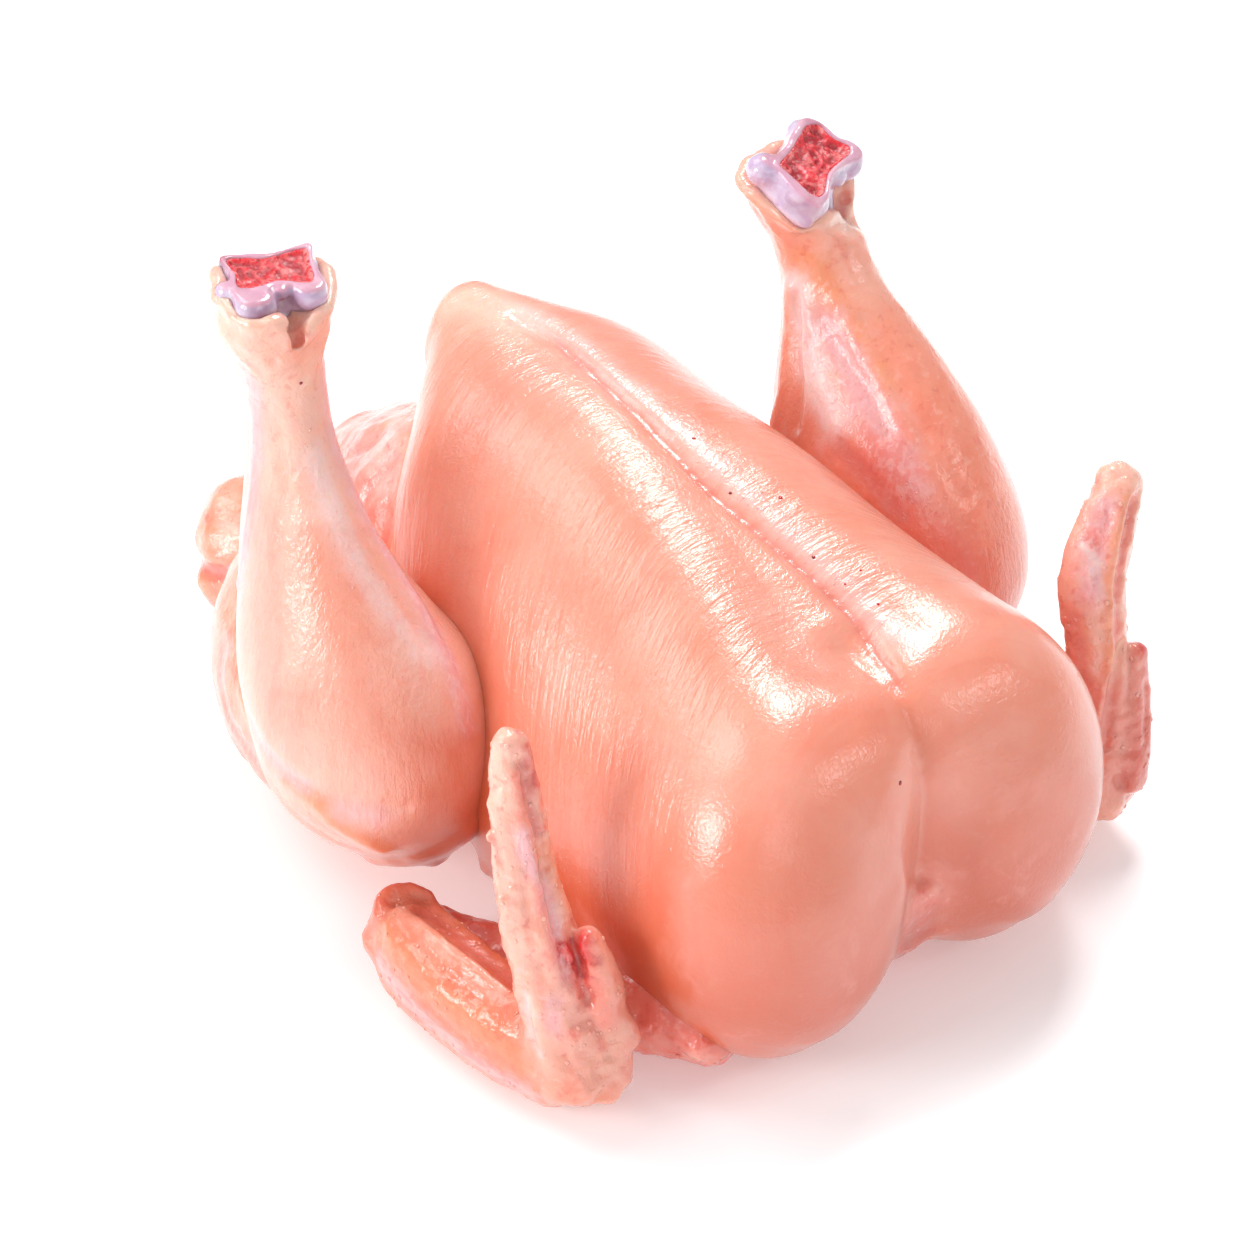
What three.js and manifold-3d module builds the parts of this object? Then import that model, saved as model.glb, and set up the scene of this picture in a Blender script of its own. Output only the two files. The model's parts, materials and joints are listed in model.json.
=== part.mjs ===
// A whole raw chicken without its skin, lying on its back with the breast up, the neck end towards -Y
// and both drumsticks raised. The flesh is one closed solid: two breast lobes over the rib cage, belly,
// tail, thighs, drumsticks and folded wings, each a closed skin swept along a short spine and joined by
// union. Each cut shank holds a bone with a marrow core. Millimetres, +Z up, resting on z = 0.
import * as THREE from "three";
import { mergeVertices } from "three/addons/utils/BufferGeometryUtils.js";
import Module from "manifold-3d";

const wasm = await Module();
wasm.setup();

// Driving dimensions. The bird's left side is -X.
const GAP = 0.35; // between a bone and the flesh round it, and between marrow and bone
const SHELL = 1.6; // thickness of the cartilage round the marrow
const FLOOR_BLOCK = 400; // side of the block that trims everything under the resting plane
const CAP_RINGS = 3; // rings in a rounded end
const ROUND = 2; // squareness of a plain ellipse
const NOTCH_WIDTH = 0.45; // half-breadth of the hollow between a bone's knobs, of its half-width
const HEAD_RISE = 3; // how far a bone's head is drawn on past its cut face before the cut

const COLOURS = { flesh: 0xeeb09a, bone: 0xd9cbe6, marrow: 0xd8404c };

// ---- Anatomy: each spine station gives its place, half-width, half-depth and turn in degrees ----

const BREAST = {
  ref: "z",
  upright: true,
  rings: 21,
  sides: 24,
  ends: [4, 5],
  spine: [
    { at: [-4.5, 69, 87], wide: 6.5, deep: 9.5, turn: -10 },
    { at: [-10, 60, 77.5], wide: 13, deep: 21, turn: -18 },
    { at: [-15.5, 47, 66.5], wide: 21.5, deep: 32.5, turn: -24 },
    { at: [-18, 28, 56], wide: 25, deep: 42, turn: -25 },
    { at: [-20, 6, 48], wide: 28, deep: 46, turn: -23 },
    { at: [-21, -18, 42], wide: 29, deep: 43.5, turn: -20, square: 2.4 },
    { at: [-23, -38, 39], wide: 29, deep: 39, turn: -15, square: 3.4 },
    { at: [-23.5, -54, 38], wide: 28.5, deep: 36.5, turn: -8, square: 5 },
    { at: [-25, -63, 36], wide: 25, deep: 31, turn: -4, square: 4 },
    { at: [-26.5, -69, 34], wide: 17, deep: 22 },
  ],
};
const KEEL = {
  ref: "z",
  upright: true,
  rings: 10,
  sides: 12,
  ends: [6, 8],
  spine: [
    { at: [0, 70, 90], wide: 7, deep: 9.5 },
    { at: [0, 48, 83], wide: 9, deep: 14 },
    { at: [0, 20, 78], wide: 10, deep: 15 },
    { at: [0, -10, 70], wide: 10, deep: 15 },
    { at: [0, -34, 63], wide: 10, deep: 14 },
  ],
};
const RIBS = {
  ref: "z",
  rings: 12,
  sides: 18,
  ends: [10, 8],
  spine: [
    { at: [0, 106, 28], wide: 24, deep: 21 },
    { at: [0, 84, 30], wide: 36, deep: 29 },
    { at: [0, 50, 31], wide: 38, deep: 32 },
    { at: [0, 10, 29], wide: 40, deep: 30 },
    { at: [0, -28, 26], wide: 42, deep: 27 },
    { at: [0, -48, 24], wide: 38, deep: 24 },
  ],
};
const BELLY = {
  ref: "z",
  rings: 9,
  sides: 16,
  ends: [10, 8],
  spine: [
    { at: [0, 58, 61], wide: 17, deep: 19 },
    { at: [0, 73, 48.5], wide: 25, deep: 20 },
    { at: [0, 88, 38.5], wide: 27, deep: 20 },
    { at: [-1, 101, 30.5], wide: 25, deep: 19 },
    { at: [-5, 112, 23], wide: 20, deep: 16 },
  ],
};
const TAIL = {
  ref: "z",
  rings: 8,
  sides: 14,
  ends: [6, 9],
  spine: [
    { at: [0, 96, 25], wide: 24, deep: 21 },
    { at: [-10, 112, 19], wide: 20, deep: 18 },
    { at: [-21, 126, 14.5], wide: 14.5, deep: 15 },
  ],
};
const NECK = {
  ref: "z",
  rings: 4,
  sides: 12,
  ends: [5, 3],
  spine: [
    { at: [0, -40, 26], wide: 20, deep: 18 },
    { at: [0, -60, 18], wide: 15, deep: 14 },
  ],
};

const LEFT_THIGH = {
  ref: "z",
  rings: 10,
  sides: 18,
  ends: [14, 12],
  spine: [
    { at: [-26, 88, 31], wide: 18, deep: 21 },
    { at: [-39, 70, 30], wide: 24, deep: 26 },
    { at: [-46.5, 48, 29.5], wide: 25, deep: 22.5 },
    { at: [-48, 31, 29], wide: 20.5, deep: 19.5 },
  ],
};
const RIGHT_THIGH = {
  ref: "z",
  rings: 10,
  sides: 18,
  ends: [14, 12],
  spine: [
    { at: [26, 84, 31], wide: 18, deep: 21 },
    { at: [40, 62, 30], wide: 25, deep: 26 },
    { at: [48, 34, 28], wide: 24, deep: 24 },
    { at: [52, 14, 27], wide: 20, deep: 21 },
  ],
};
const LEFT_DRUMSTICK = {
  ref: "y",
  rings: 18,
  sides: 18,
  ends: [10, 2],
  spine: [
    { at: [-51.5, 20.5, 28], wide: 18, deep: 17 },
    { at: [-57.5, 25, 43.5], wide: 24.5, deep: 23.5 },
    { at: [-61, 33, 60], wide: 20, deep: 23 },
    { at: [-61.5, 41, 80], wide: 12.2, deep: 16.5 },
    { at: [-60.5, 46, 98], wide: 8.2, deep: 10.5 },
    { at: [-60, 48, 112], wide: 7.6, deep: 8.3 },
    { at: [-60.5, 49, 121], wide: 9, deep: 9 },
    { at: [-61.5, 47.5, 130], wide: 11.5, deep: 10 },
  ],
};
const RIGHT_DRUMSTICK = {
  ref: "y",
  rings: 18,
  sides: 18,
  ends: [12, 2],
  spine: [
    { at: [57, -4, 26], wide: 17, deep: 17 },
    { at: [59, 1, 42], wide: 23, deep: 26 },
    { at: [59, 10, 60], wide: 22, deep: 26 },
    { at: [60, 20, 78], wide: 16, deep: 20 },
    { at: [60, 28, 94], wide: 10, deep: 12 },
    { at: [60, 33, 105], wide: 9, deep: 9.5 },
    { at: [59, 36, 116], wide: 12.8, deep: 10.5 },
  ],
};

const LEFT_WING = {
  upper: {
    ref: "z",
    rings: 6,
    sides: 10,
    ends: [6, 4],
    spine: [
      { at: [-38, -50, 14], wide: 12, deep: 12 },
      { at: [-49, -34, 12], wide: 9.5, deep: 10 },
      { at: [-59, -14, 10], wide: 7, deep: 8 },
      { at: [-67, 2, 11], wide: 6.5, deep: 8 },
    ],
  },
  forearm: {
    ref: "z",
    rings: 8,
    sides: 12,
    ends: [4, 6],
    spine: [
      { at: [-70, 5, 13], wide: 7.5, deep: 9.5 },
      { at: [-72, -8, 13], wide: 8.5, deep: 11.5 },
      { at: [-71, -26, 12], wide: 8.5, deep: 11 },
      { at: [-68, -41, 11], wide: 8.5, deep: 10 },
    ],
  },
  hand: {
    ref: "y",
    rings: 12,
    sides: 12,
    ends: [6, 3],
    spine: [
      { at: [-66, -45, 11], wide: 9.5, deep: 8.5 },
      { at: [-67, -41, 24], wide: 8.5, deep: 7 },
      { at: [-68.5, -35.5, 40], wide: 6.8, deep: 6 },
      { at: [-68.3, -31, 54], wide: 5.8, deep: 5 },
      { at: [-67.3, -28, 66], wide: 4.8, deep: 4.2 },
      { at: [-67, -26, 76], wide: 3.2, deep: 3.2 },
    ],
  },
  thumb: {
    ref: "y",
    rings: 6,
    sides: 8,
    ends: [4, 2],
    spine: [
      { at: [-62.5, -46, 18], wide: 5.5, deep: 5.5 },
      { at: [-62, -45, 30], wide: 4.4, deep: 4 },
      { at: [-63.5, -43, 40], wide: 2.6, deep: 2.6 },
    ],
  },
};
const RIGHT_WING = {
  upper: {
    ref: "z",
    rings: 6,
    sides: 10,
    ends: [6, 4],
    spine: [
      { at: [38, -50, 14], wide: 12, deep: 12 },
      { at: [49, -34, 12], wide: 9.5, deep: 10 },
      { at: [59, -14, 10], wide: 7, deep: 8 },
      { at: [67, 2, 11], wide: 6.5, deep: 8 },
    ],
  },
  forearm: {
    ref: "z",
    rings: 8,
    sides: 12,
    ends: [4, 6],
    spine: [
      { at: [70, 5, 13], wide: 7.5, deep: 9.5 },
      { at: [71, -9, 13], wide: 8.5, deep: 11.5 },
      { at: [69, -28, 12], wide: 8.5, deep: 11 },
      { at: [66, -44, 11], wide: 8.5, deep: 10 },
    ],
  },
  hand: {
    ref: "y",
    rings: 12,
    sides: 12,
    ends: [6, 3],
    spine: [
      { at: [64.5, -49, 12], wide: 9, deep: 8 },
      { at: [65.5, -47, 26], wide: 7.5, deep: 7 },
      { at: [67.2, -44, 42], wide: 6.2, deep: 6 },
      { at: [69, -40, 56], wide: 7.2, deep: 5.6 },
      { at: [73, -38.5, 65.5], wide: 7, deep: 5 },
      { at: [77.6, -36.5, 74], wide: 4.9, deep: 4.2 },
    ],
  },
  thumb: {
    ref: "y",
    rings: 6,
    sides: 8,
    ends: [4, 2],
    spine: [
      { at: [68, -52, 15], wide: 6.3, deep: 6 },
      { at: [71, -50, 28], wide: 4.6, deep: 5 },
      { at: [73.6, -48, 41], wide: 2.6, deep: 2.8 },
    ],
  },
};

// A shank bone's head, upright under its cut face, and the hollows that part its two knobs in front and
// behind as shares of its depth.
const BONE_HEAD = {
  ref: "y",
  rings: 4,
  sides: 18,
  ends: [4, 0],
  notches: [0.5, 0.25],
  spine: [
    { at: [0, 0, -11], wide: 7, deep: 6 },
    { at: [0, 0, -6], wide: 10, deep: 8.5 },
    { at: [0, 0, 0], wide: 9.5, deep: 8.5 },
  ],
};
// Each shank: the middle of its cut face, that face's lean and heading in degrees, its shaft's spine.
const LEFT_SHANK = {
  face: [-61.5, 47.5, 137.5],
  lean: 6,
  heading: -23,
  shaft: [
    { at: [-61, 48.5, 128], wide: 5.5, deep: 4.5 },
    { at: [-60, 48, 112], wide: 4.5, deep: 4 },
    { at: [-61, 43, 84], wide: 4, deep: 4 },
    { at: [-60, 34, 52], wide: 5, deep: 5 },
  ],
};
const RIGHT_SHANK = {
  face: [59, 34, 123.5],
  lean: 28,
  heading: 22,
  shaft: [
    { at: [59.5, 36, 114], wide: 5.5, deep: 4.5 },
    { at: [60, 33, 104], wide: 4.5, deep: 4 },
    { at: [60, 22, 80], wide: 4, deep: 4 },
    { at: [59, 8, 52], wide: 5, deep: 5 },
  ],
};

// ---- Shapes ----

const AXES = { y: new THREE.Vector3(0, 1, 0), z: new THREE.Vector3(0, 0, 1) };
const TOWARDS_NECK = new THREE.Vector3(0, -1, 0);

// Smooth curves through a form's places, its half-width, half-depth and turn, and its squareness.
function curvesOf(form) {
  const places = form.spine.map((s) => new THREE.Vector3(...s.at));
  const sizes = form.spine.map((s) => new THREE.Vector3(s.wide, s.deep, s.turn ?? 0));
  const corners = form.spine.map((s) => new THREE.Vector3(s.square ?? ROUND, 0, 0));
  return [places, sizes, corners].map((v) => new THREE.CatmullRomCurve3(v, false, "catmullrom"));
}

// A closed skin of elliptical rings along a form's spine, with both ends rounded off. An upright form
// keeps its rings in planes of constant y, a ring's upper inner corner may be squarer than the rest,
// and notches hollow a ring in front and behind.
function swept(form) {
  const [places, sizes, corners] = curvesOf(form);
  const [front, back] = form.notches ?? [0, 0];
  const ringAt = (t, ahead, scale) => {
    const along = form.upright ? TOWARDS_NECK : places.getTangent(t);
    const { x: wide, y: deep, z: turn } = sizes.getPoint(t);
    const power = 2 / corners.getPoint(t).x;
    const side = new THREE.Vector3().crossVectors(AXES[form.ref], along).normalize();
    side.applyAxisAngle(along, THREE.MathUtils.degToRad(turn));
    const rise = new THREE.Vector3().crossVectors(along, side);
    const centre = places.getPoint(t).addScaledVector(along, ahead);
    return Array.from({ length: form.sides }, (_, i) => {
      const angle = (2 * Math.PI * i) / form.sides;
      const [c, s] = [Math.cos(angle), Math.sin(angle)];
      const [across, up] = c > 0 && s > 0 ? [c ** power, s ** power] : [c, s];
      const hollow = (up < 0 ? front : back) * Math.exp(-((across / NOTCH_WIDTH) ** 2));
      return centre
        .clone()
        .addScaledVector(side, wide * scale * across)
        .addScaledVector(rise, deep * scale * up * (1 - hollow));
    });
  };
  const [startCap, endCap] = form.ends;
  const swings = Array.from({ length: CAP_RINGS }, (_, k) => ((k + 1) / (CAP_RINGS + 1)) * (Math.PI / 2));
  const start = swings.map((a) => ringAt(0, -startCap * Math.sin(a), Math.cos(a))).reverse();
  const middle = Array.from({ length: form.rings + 1 }, (_, i) => ringAt(i / form.rings, 0, 1));
  const end = swings.map((a) => ringAt(1, endCap * Math.sin(a), Math.cos(a)));
  return skin([...start, ...middle, ...end], ringAt(0, -startCap, 0)[0], ringAt(1, endCap, 0)[0]);
}

// Triangles between neighbouring rings, closed by a fan at each pole.
function skin(rings, startPole, endPole) {
  const sides = rings[0].length;
  const points = [startPole, ...rings.flat(), endPole];
  const last = points.length - 1;
  const at = (r, i) => 1 + r * sides + (i % sides);
  const faces = [];
  for (let i = 0; i < sides; i++) {
    faces.push(0, at(0, i + 1), at(0, i));
    faces.push(last, at(rings.length - 1, i), at(rings.length - 1, i + 1));
    for (let r = 0; r < rings.length - 1; r++) {
      faces.push(at(r, i), at(r, i + 1), at(r + 1, i + 1));
      faces.push(at(r, i), at(r + 1, i + 1), at(r + 1, i));
    }
  }
  return new THREE.BufferGeometry().setFromPoints(points).setIndex(faces);
}

// The mirror image of a skin, on the other side of the bird.
function mirrored(geometry) {
  const image = geometry.clone().scale(-1, 1, 1);
  image.setIndex(Array.from(image.index.array).reverse());
  return image;
}

// ---- Joining and cutting ----

function solidOf(geometry) {
  const bare = geometry.clone();
  bare.deleteAttribute("normal");
  bare.deleteAttribute("uv");
  const merged = mergeVertices(bare);
  const mesh = new wasm.Mesh({
    numProp: 3,
    vertProperties: merged.attributes.position.array,
    triVerts: new Uint32Array(merged.index.array),
  });
  return new wasm.Manifold(mesh);
}

function geometryOf(solid) {
  const mesh = solid.getMesh();
  return new THREE.BufferGeometry()
    .setAttribute("position", new THREE.BufferAttribute(mesh.vertProperties, 3))
    .setIndex(new THREE.BufferAttribute(mesh.triVerts, 1));
}

function joined(geometries) {
  return geometries.map(solidOf).reduce((whole, piece) => whole.add(piece));
}

// The block of space under a plane, given by the pose of that plane.
function under(pose) {
  const block = new THREE.BoxGeometry(FLOOR_BLOCK, FLOOR_BLOCK, FLOOR_BLOCK);
  return solidOf(block.translate(0, 0, -FLOOR_BLOCK / 2).applyMatrix4(pose));
}

// ---- Bones ----

// The pose of a shank's cut face: its middle, turned to its heading and leant towards its front.
function facePose(shank) {
  const heading = new THREE.Matrix4().makeRotationZ(THREE.MathUtils.degToRad(shank.heading));
  const lean = new THREE.Matrix4().makeRotationX(THREE.MathUtils.degToRad(shank.lean));
  return heading.multiply(lean).setPosition(...shank.face);
}

// A form with every half-size grown by an amount, or shrunk where it is negative.
function grown(form, amount) {
  const spine = form.spine.map((s) => ({ ...s, wide: s.wide + amount, deep: s.deep + amount }));
  return { ...form, ends: form.ends.map((e) => e + amount), spine };
}

// A shank's head and shaft as one solid, grown by an amount, its head drawn on past the cut face.
function boneForm(shank, amount) {
  const [low, wide, face] = BONE_HEAD.spine;
  const spine = [low, wide, face, { ...face, at: [0, 0, HEAD_RISE] }];
  const head = swept(grown({ ...BONE_HEAD, spine }, amount)).applyMatrix4(facePose(shank));
  const shaft = swept(grown({ ref: "y", rings: 6, sides: 10, ends: [3, 3], spine: shank.shaft }, amount));
  return joined([head, shaft]);
}

// The bone, its marrow core, both cut level with the face, and the socket that they leave in the flesh.
function shankOf(shank) {
  const below = under(facePose(shank));
  const marrow = boneForm(shank, -SHELL - GAP).intersect(below);
  const bone = boneForm(shank, 0).intersect(below).subtract(boneForm(shank, -SHELL));
  return { bone, marrow, socket: boneForm(shank, GAP) };
}

const left = shankOf(LEFT_SHANK);
const right = shankOf(RIGHT_SHANK);

const SINGLE_FORMS = [
  KEEL,
  RIBS,
  BELLY,
  TAIL,
  NECK,
  LEFT_THIGH,
  RIGHT_THIGH,
  LEFT_DRUMSTICK,
  RIGHT_DRUMSTICK,
  ...Object.values(LEFT_WING),
  ...Object.values(RIGHT_WING),
];
const flesh = joined([swept(BREAST), mirrored(swept(BREAST)), ...SINGLE_FORMS.map(swept)])
  .subtract(under(new THREE.Matrix4()))
  .subtract(left.socket)
  .subtract(right.socket);

// ---- The bird, its bounding box centred on the origin ----

function part(name, solid, colour, roughness) {
  const material = new THREE.MeshStandardMaterial({ color: colour, roughness, metalness: 0 });
  const mesh = new THREE.Mesh(geometryOf(solid), material);
  mesh.name = name;
  return mesh;
}

const chicken = new THREE.Group();
chicken.add(
  part("chicken_flesh", flesh, COLOURS.flesh, 0.35),
  part("left_shank_bone", left.bone, COLOURS.bone, 0.3),
  part("left_shank_marrow", left.marrow, COLOURS.marrow, 0.4),
  part("right_shank_bone", right.bone, COLOURS.bone, 0.3),
  part("right_shank_marrow", right.marrow, COLOURS.marrow, 0.4),
);
const middle = new THREE.Box3().setFromObject(chicken).getCenter(new THREE.Vector3());
chicken.position.set(-middle.x, -middle.y, 0);

export default chicken;
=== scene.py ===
"""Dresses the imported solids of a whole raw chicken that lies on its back: flesh, wings, shank bones, marrow.

Each piece is grown from the same named stations as the solids, as a field of distances in millimetres.
Its forms are joined softly, raised and carved with named strokes, turned into one closed skin and painted
point by point. The wings, the skin round each shank's end, the bones and their marrow have finer fields.
"""

import functools
import json
import math

import bpy
import numpy as np
import openvdb
from mathutils import Matrix, Vector

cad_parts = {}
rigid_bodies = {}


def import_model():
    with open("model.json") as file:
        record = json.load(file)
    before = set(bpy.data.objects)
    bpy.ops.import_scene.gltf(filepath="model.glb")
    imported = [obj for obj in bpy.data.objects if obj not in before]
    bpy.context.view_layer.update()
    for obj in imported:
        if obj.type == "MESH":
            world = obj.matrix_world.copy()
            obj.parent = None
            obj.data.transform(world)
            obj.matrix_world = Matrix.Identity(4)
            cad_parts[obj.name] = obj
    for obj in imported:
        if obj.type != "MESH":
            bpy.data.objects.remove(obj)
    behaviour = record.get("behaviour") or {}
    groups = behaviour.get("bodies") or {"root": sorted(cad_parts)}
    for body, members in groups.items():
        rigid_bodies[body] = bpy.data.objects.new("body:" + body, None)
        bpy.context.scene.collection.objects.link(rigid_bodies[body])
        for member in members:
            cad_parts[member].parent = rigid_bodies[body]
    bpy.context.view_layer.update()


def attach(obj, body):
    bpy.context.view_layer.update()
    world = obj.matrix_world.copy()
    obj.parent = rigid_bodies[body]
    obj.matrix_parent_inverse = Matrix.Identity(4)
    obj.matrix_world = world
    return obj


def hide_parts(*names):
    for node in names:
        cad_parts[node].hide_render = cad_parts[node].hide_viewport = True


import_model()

bl_info = {
    "name": "Whole raw chicken",
    "version": (1, 0, 0),
    "blender": (4, 5, 0),
    "location": "View3D > Sidebar > Chicken",
    "description": "Dresses the solids of a whole raw chicken with flesh, wings, shank bones and marrow",
    "category": "Object",
}

MM = 0.001
# From the middle of the breast, where the stations are set out, to the part's own origin, in millimetres.
ORIGIN = np.array([-0.1724, -31.7228, 0.0])
MIDDLE = np.array([0.0, 21.0, 43.0])  # where the camera and the lamps look, from the middle of the breast
BODY = "root"
REACH = 12.0  # how far from a surface distances are kept, in millimetres
OVERLAP = 0.2  # the flesh runs this far into a bone's surface, so that no slit shows between them
SHELL = 1.0  # thickness of the cartilage round the marrow
MARGIN = 6  # room round a group of forms in its field
WIDE_CELL = 2.0  # cells of the fields that only find creases
CREASE_REACH = 5.0  # a crease fades over this distance from the other group
ZONE_BLEND = 1.6  # neighbouring zones run into each other over this distance
SKIN_DEPTH = 4.0  # relief reaches this far from a surface
FLOOR_FADE = 3.0  # relief grows from nothing at the floor to its full height here
LOBES = ((-70, -90, 2), (70, -34, 96))  # the box round the front of the breast's two lobes
LOBE_PASSES = 40  # how often its distances are evened out
LOBE_SWELL = 0.6  # given back to the lobes, which shrink as they are evened out
DOME_GAP = 0.0004  # least distance between two domes, in metres
DOME_SIZES = (0.45, 1.2)  # least and greatest share of a dome's radius
LENS = 107.66  # focal length of the camera in millimetres, on a sensor 36 wide


# ---- Anatomy: each station is place, half-width, half-depth, turn in degrees, squareness ----


def form(ref, ends, *spine, upright=False):
    """A swept form: its reference axis, the reach of its two rounded ends, and its stations."""
    rows = [(*s[0], s[1], s[2], *(s[3:] or (0,)), *([2] if len(s) < 5 else [])) for s in spine]
    return {"ref": ref, "ends": ends, "upright": upright, "rows": np.array(rows, float)}


def mirrored(shape):
    """The same form on the bird's other side."""
    return {**shape, "rows": shape["rows"] * [-1, 1, 1, 1, 1, -1, 1]}


BREAST = form(
    "z",
    (4, 5),
    ((-4.5, 69, 87), 6.5, 9.5, -10),
    ((-10, 60, 77.5), 13, 21, -18),
    ((-15.5, 47, 66.5), 21.5, 32.5, -24),
    ((-18, 28, 56), 25, 42, -25),
    ((-20, 6, 48), 28, 46, -23),
    ((-21, -18, 42), 29, 43.5, -20, 2.4),
    ((-23, -38, 39), 29, 39, -15, 3.4),
    ((-23.5, -54, 38), 28.5, 36.5, -8, 5),
    ((-25, -63, 36), 25, 31, -4, 4),
    ((-26.5, -69, 34), 17, 22),
    upright=True,
)
KEEL = form(
    "z",
    (6, 8),
    ((0, 70, 90), 7, 9.5),
    ((0, 48, 83), 9, 14),
    ((0, 20, 78), 10, 15),
    ((0, -10, 70), 10, 15),
    ((0, -34, 63), 10, 14),
    upright=True,
)
RIBS = form(
    "z",
    (10, 8),
    ((0, 106, 28), 24, 21),
    ((0, 84, 30), 36, 29),
    ((0, 50, 31), 38, 32),
    ((0, 10, 29), 40, 30),
    ((0, -28, 26), 42, 27),
    ((0, -48, 24), 38, 24),
)
BELLY = form(
    "z",
    (10, 8),
    ((0, 58, 61), 17, 19),
    ((0, 73, 48.5), 25, 20),
    ((0, 88, 38.5), 27, 20),
    ((-1, 101, 30.5), 25, 19),
    ((-5, 112, 23), 20, 16),
)
TAIL = form(
    "z",
    (6, 9),
    ((0, 96, 25), 24, 21),
    ((-10, 112, 19), 20, 18),
    ((-21, 126, 14.5), 14.5, 15),
)
NECK = form(
    "z",
    (5, 3),
    ((0, -40, 26), 20, 18),
    ((0, -60, 18), 15, 14),
)
LEFT_THIGH = form(
    "z",
    (14, 12),
    ((-26, 88, 31), 18, 21),
    ((-39, 70, 30), 24, 26),
    ((-46.5, 48, 29.5), 25, 22.5),
    ((-48, 31, 29), 20.5, 19.5),
)
RIGHT_THIGH = form(
    "z",
    (14, 12),
    ((26, 84, 31), 18, 21),
    ((40, 62, 30), 25, 26),
    ((48, 34, 28), 24, 24),
    ((52, 14, 27), 20, 21),
)
LEFT_DRUMSTICK = form(
    "y",
    (10, 8),
    ((-51.5, 20.5, 28), 18, 17),
    ((-57.5, 25, 43.5), 24.5, 23.5),
    ((-61, 33, 60), 20, 23),
    ((-61.5, 41, 80), 12.2, 16.5),
    ((-60.5, 46, 98), 8.2, 10.5),
    ((-60, 48, 112), 7.6, 8.3),
    ((-60.5, 49, 121), 9, 9),
    ((-61.5, 47.5, 130), 11.5, 10),
)
RIGHT_DRUMSTICK = form(
    "y",
    (12, 7),
    ((57, -4, 26), 17, 17),
    ((59, 1, 42), 23, 26),
    ((59, 10, 60), 22, 26),
    ((60, 20, 78), 16, 20),
    ((60, 28, 94), 10, 12),
    ((60, 33, 105), 9, 9.5),
    ((59, 36, 116), 12.8, 10.5),
)
LEFT_UPPER_WING = form(
    "z",
    (6, 4),
    ((-38, -50, 14), 12, 12),
    ((-49, -34, 12), 9.5, 10),
    ((-59, -14, 10), 7, 8),
    ((-67, 2, 11), 6.5, 8),
)
LEFT_FOREARM = form(
    "z",
    (4, 6),
    ((-70, 5, 13), 7.5, 9.5),
    ((-72, -8, 13), 8.5, 11.5),
    ((-71, -26, 12), 8.5, 11),
    ((-68, -41, 11), 8.5, 10),
)
LEFT_HAND = form(
    "y",
    (6, 3),
    ((-66, -45, 11), 9.5, 8.5),
    ((-67, -41, 24), 8.5, 7),
    ((-68.5, -35.5, 40), 6.8, 6),
    ((-68.3, -31, 54), 5.8, 5),
    ((-67.3, -28, 66), 4.8, 4.2),
    ((-67, -26, 76), 3.2, 3.2),
)
LEFT_THUMB = form(
    "y",
    (4, 2),
    ((-62.5, -46, 18), 5.5, 5.5),
    ((-62, -45, 30), 4.4, 4),
    ((-63.5, -43, 40), 2.6, 2.6),
)
RIGHT_UPPER_WING = mirrored(LEFT_UPPER_WING)
RIGHT_FOREARM = form(
    "z",
    (4, 6),
    ((70, 5, 13), 7.5, 9.5),
    ((71, -9, 13), 8.5, 11.5),
    ((69, -28, 12), 8.5, 11),
    ((66, -44, 11), 8.5, 10),
)
RIGHT_HAND = form(
    "y",
    (6, 3),
    ((64.5, -49, 12), 9, 8),
    ((65.5, -47, 26), 7.5, 7),
    ((67.2, -44, 42), 6.2, 6),
    ((69, -40, 56), 7.2, 5.6),
    ((73, -38.5, 65.5), 7, 5),
    ((77.6, -36.5, 74), 4.9, 4.2),
)
RIGHT_THUMB = form(
    "y",
    (4, 2),
    ((68, -52, 15), 6.3, 6),
    ((71, -50, 28), 4.6, 5),
    ((73.6, -48, 41), 2.6, 2.8),
)

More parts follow.
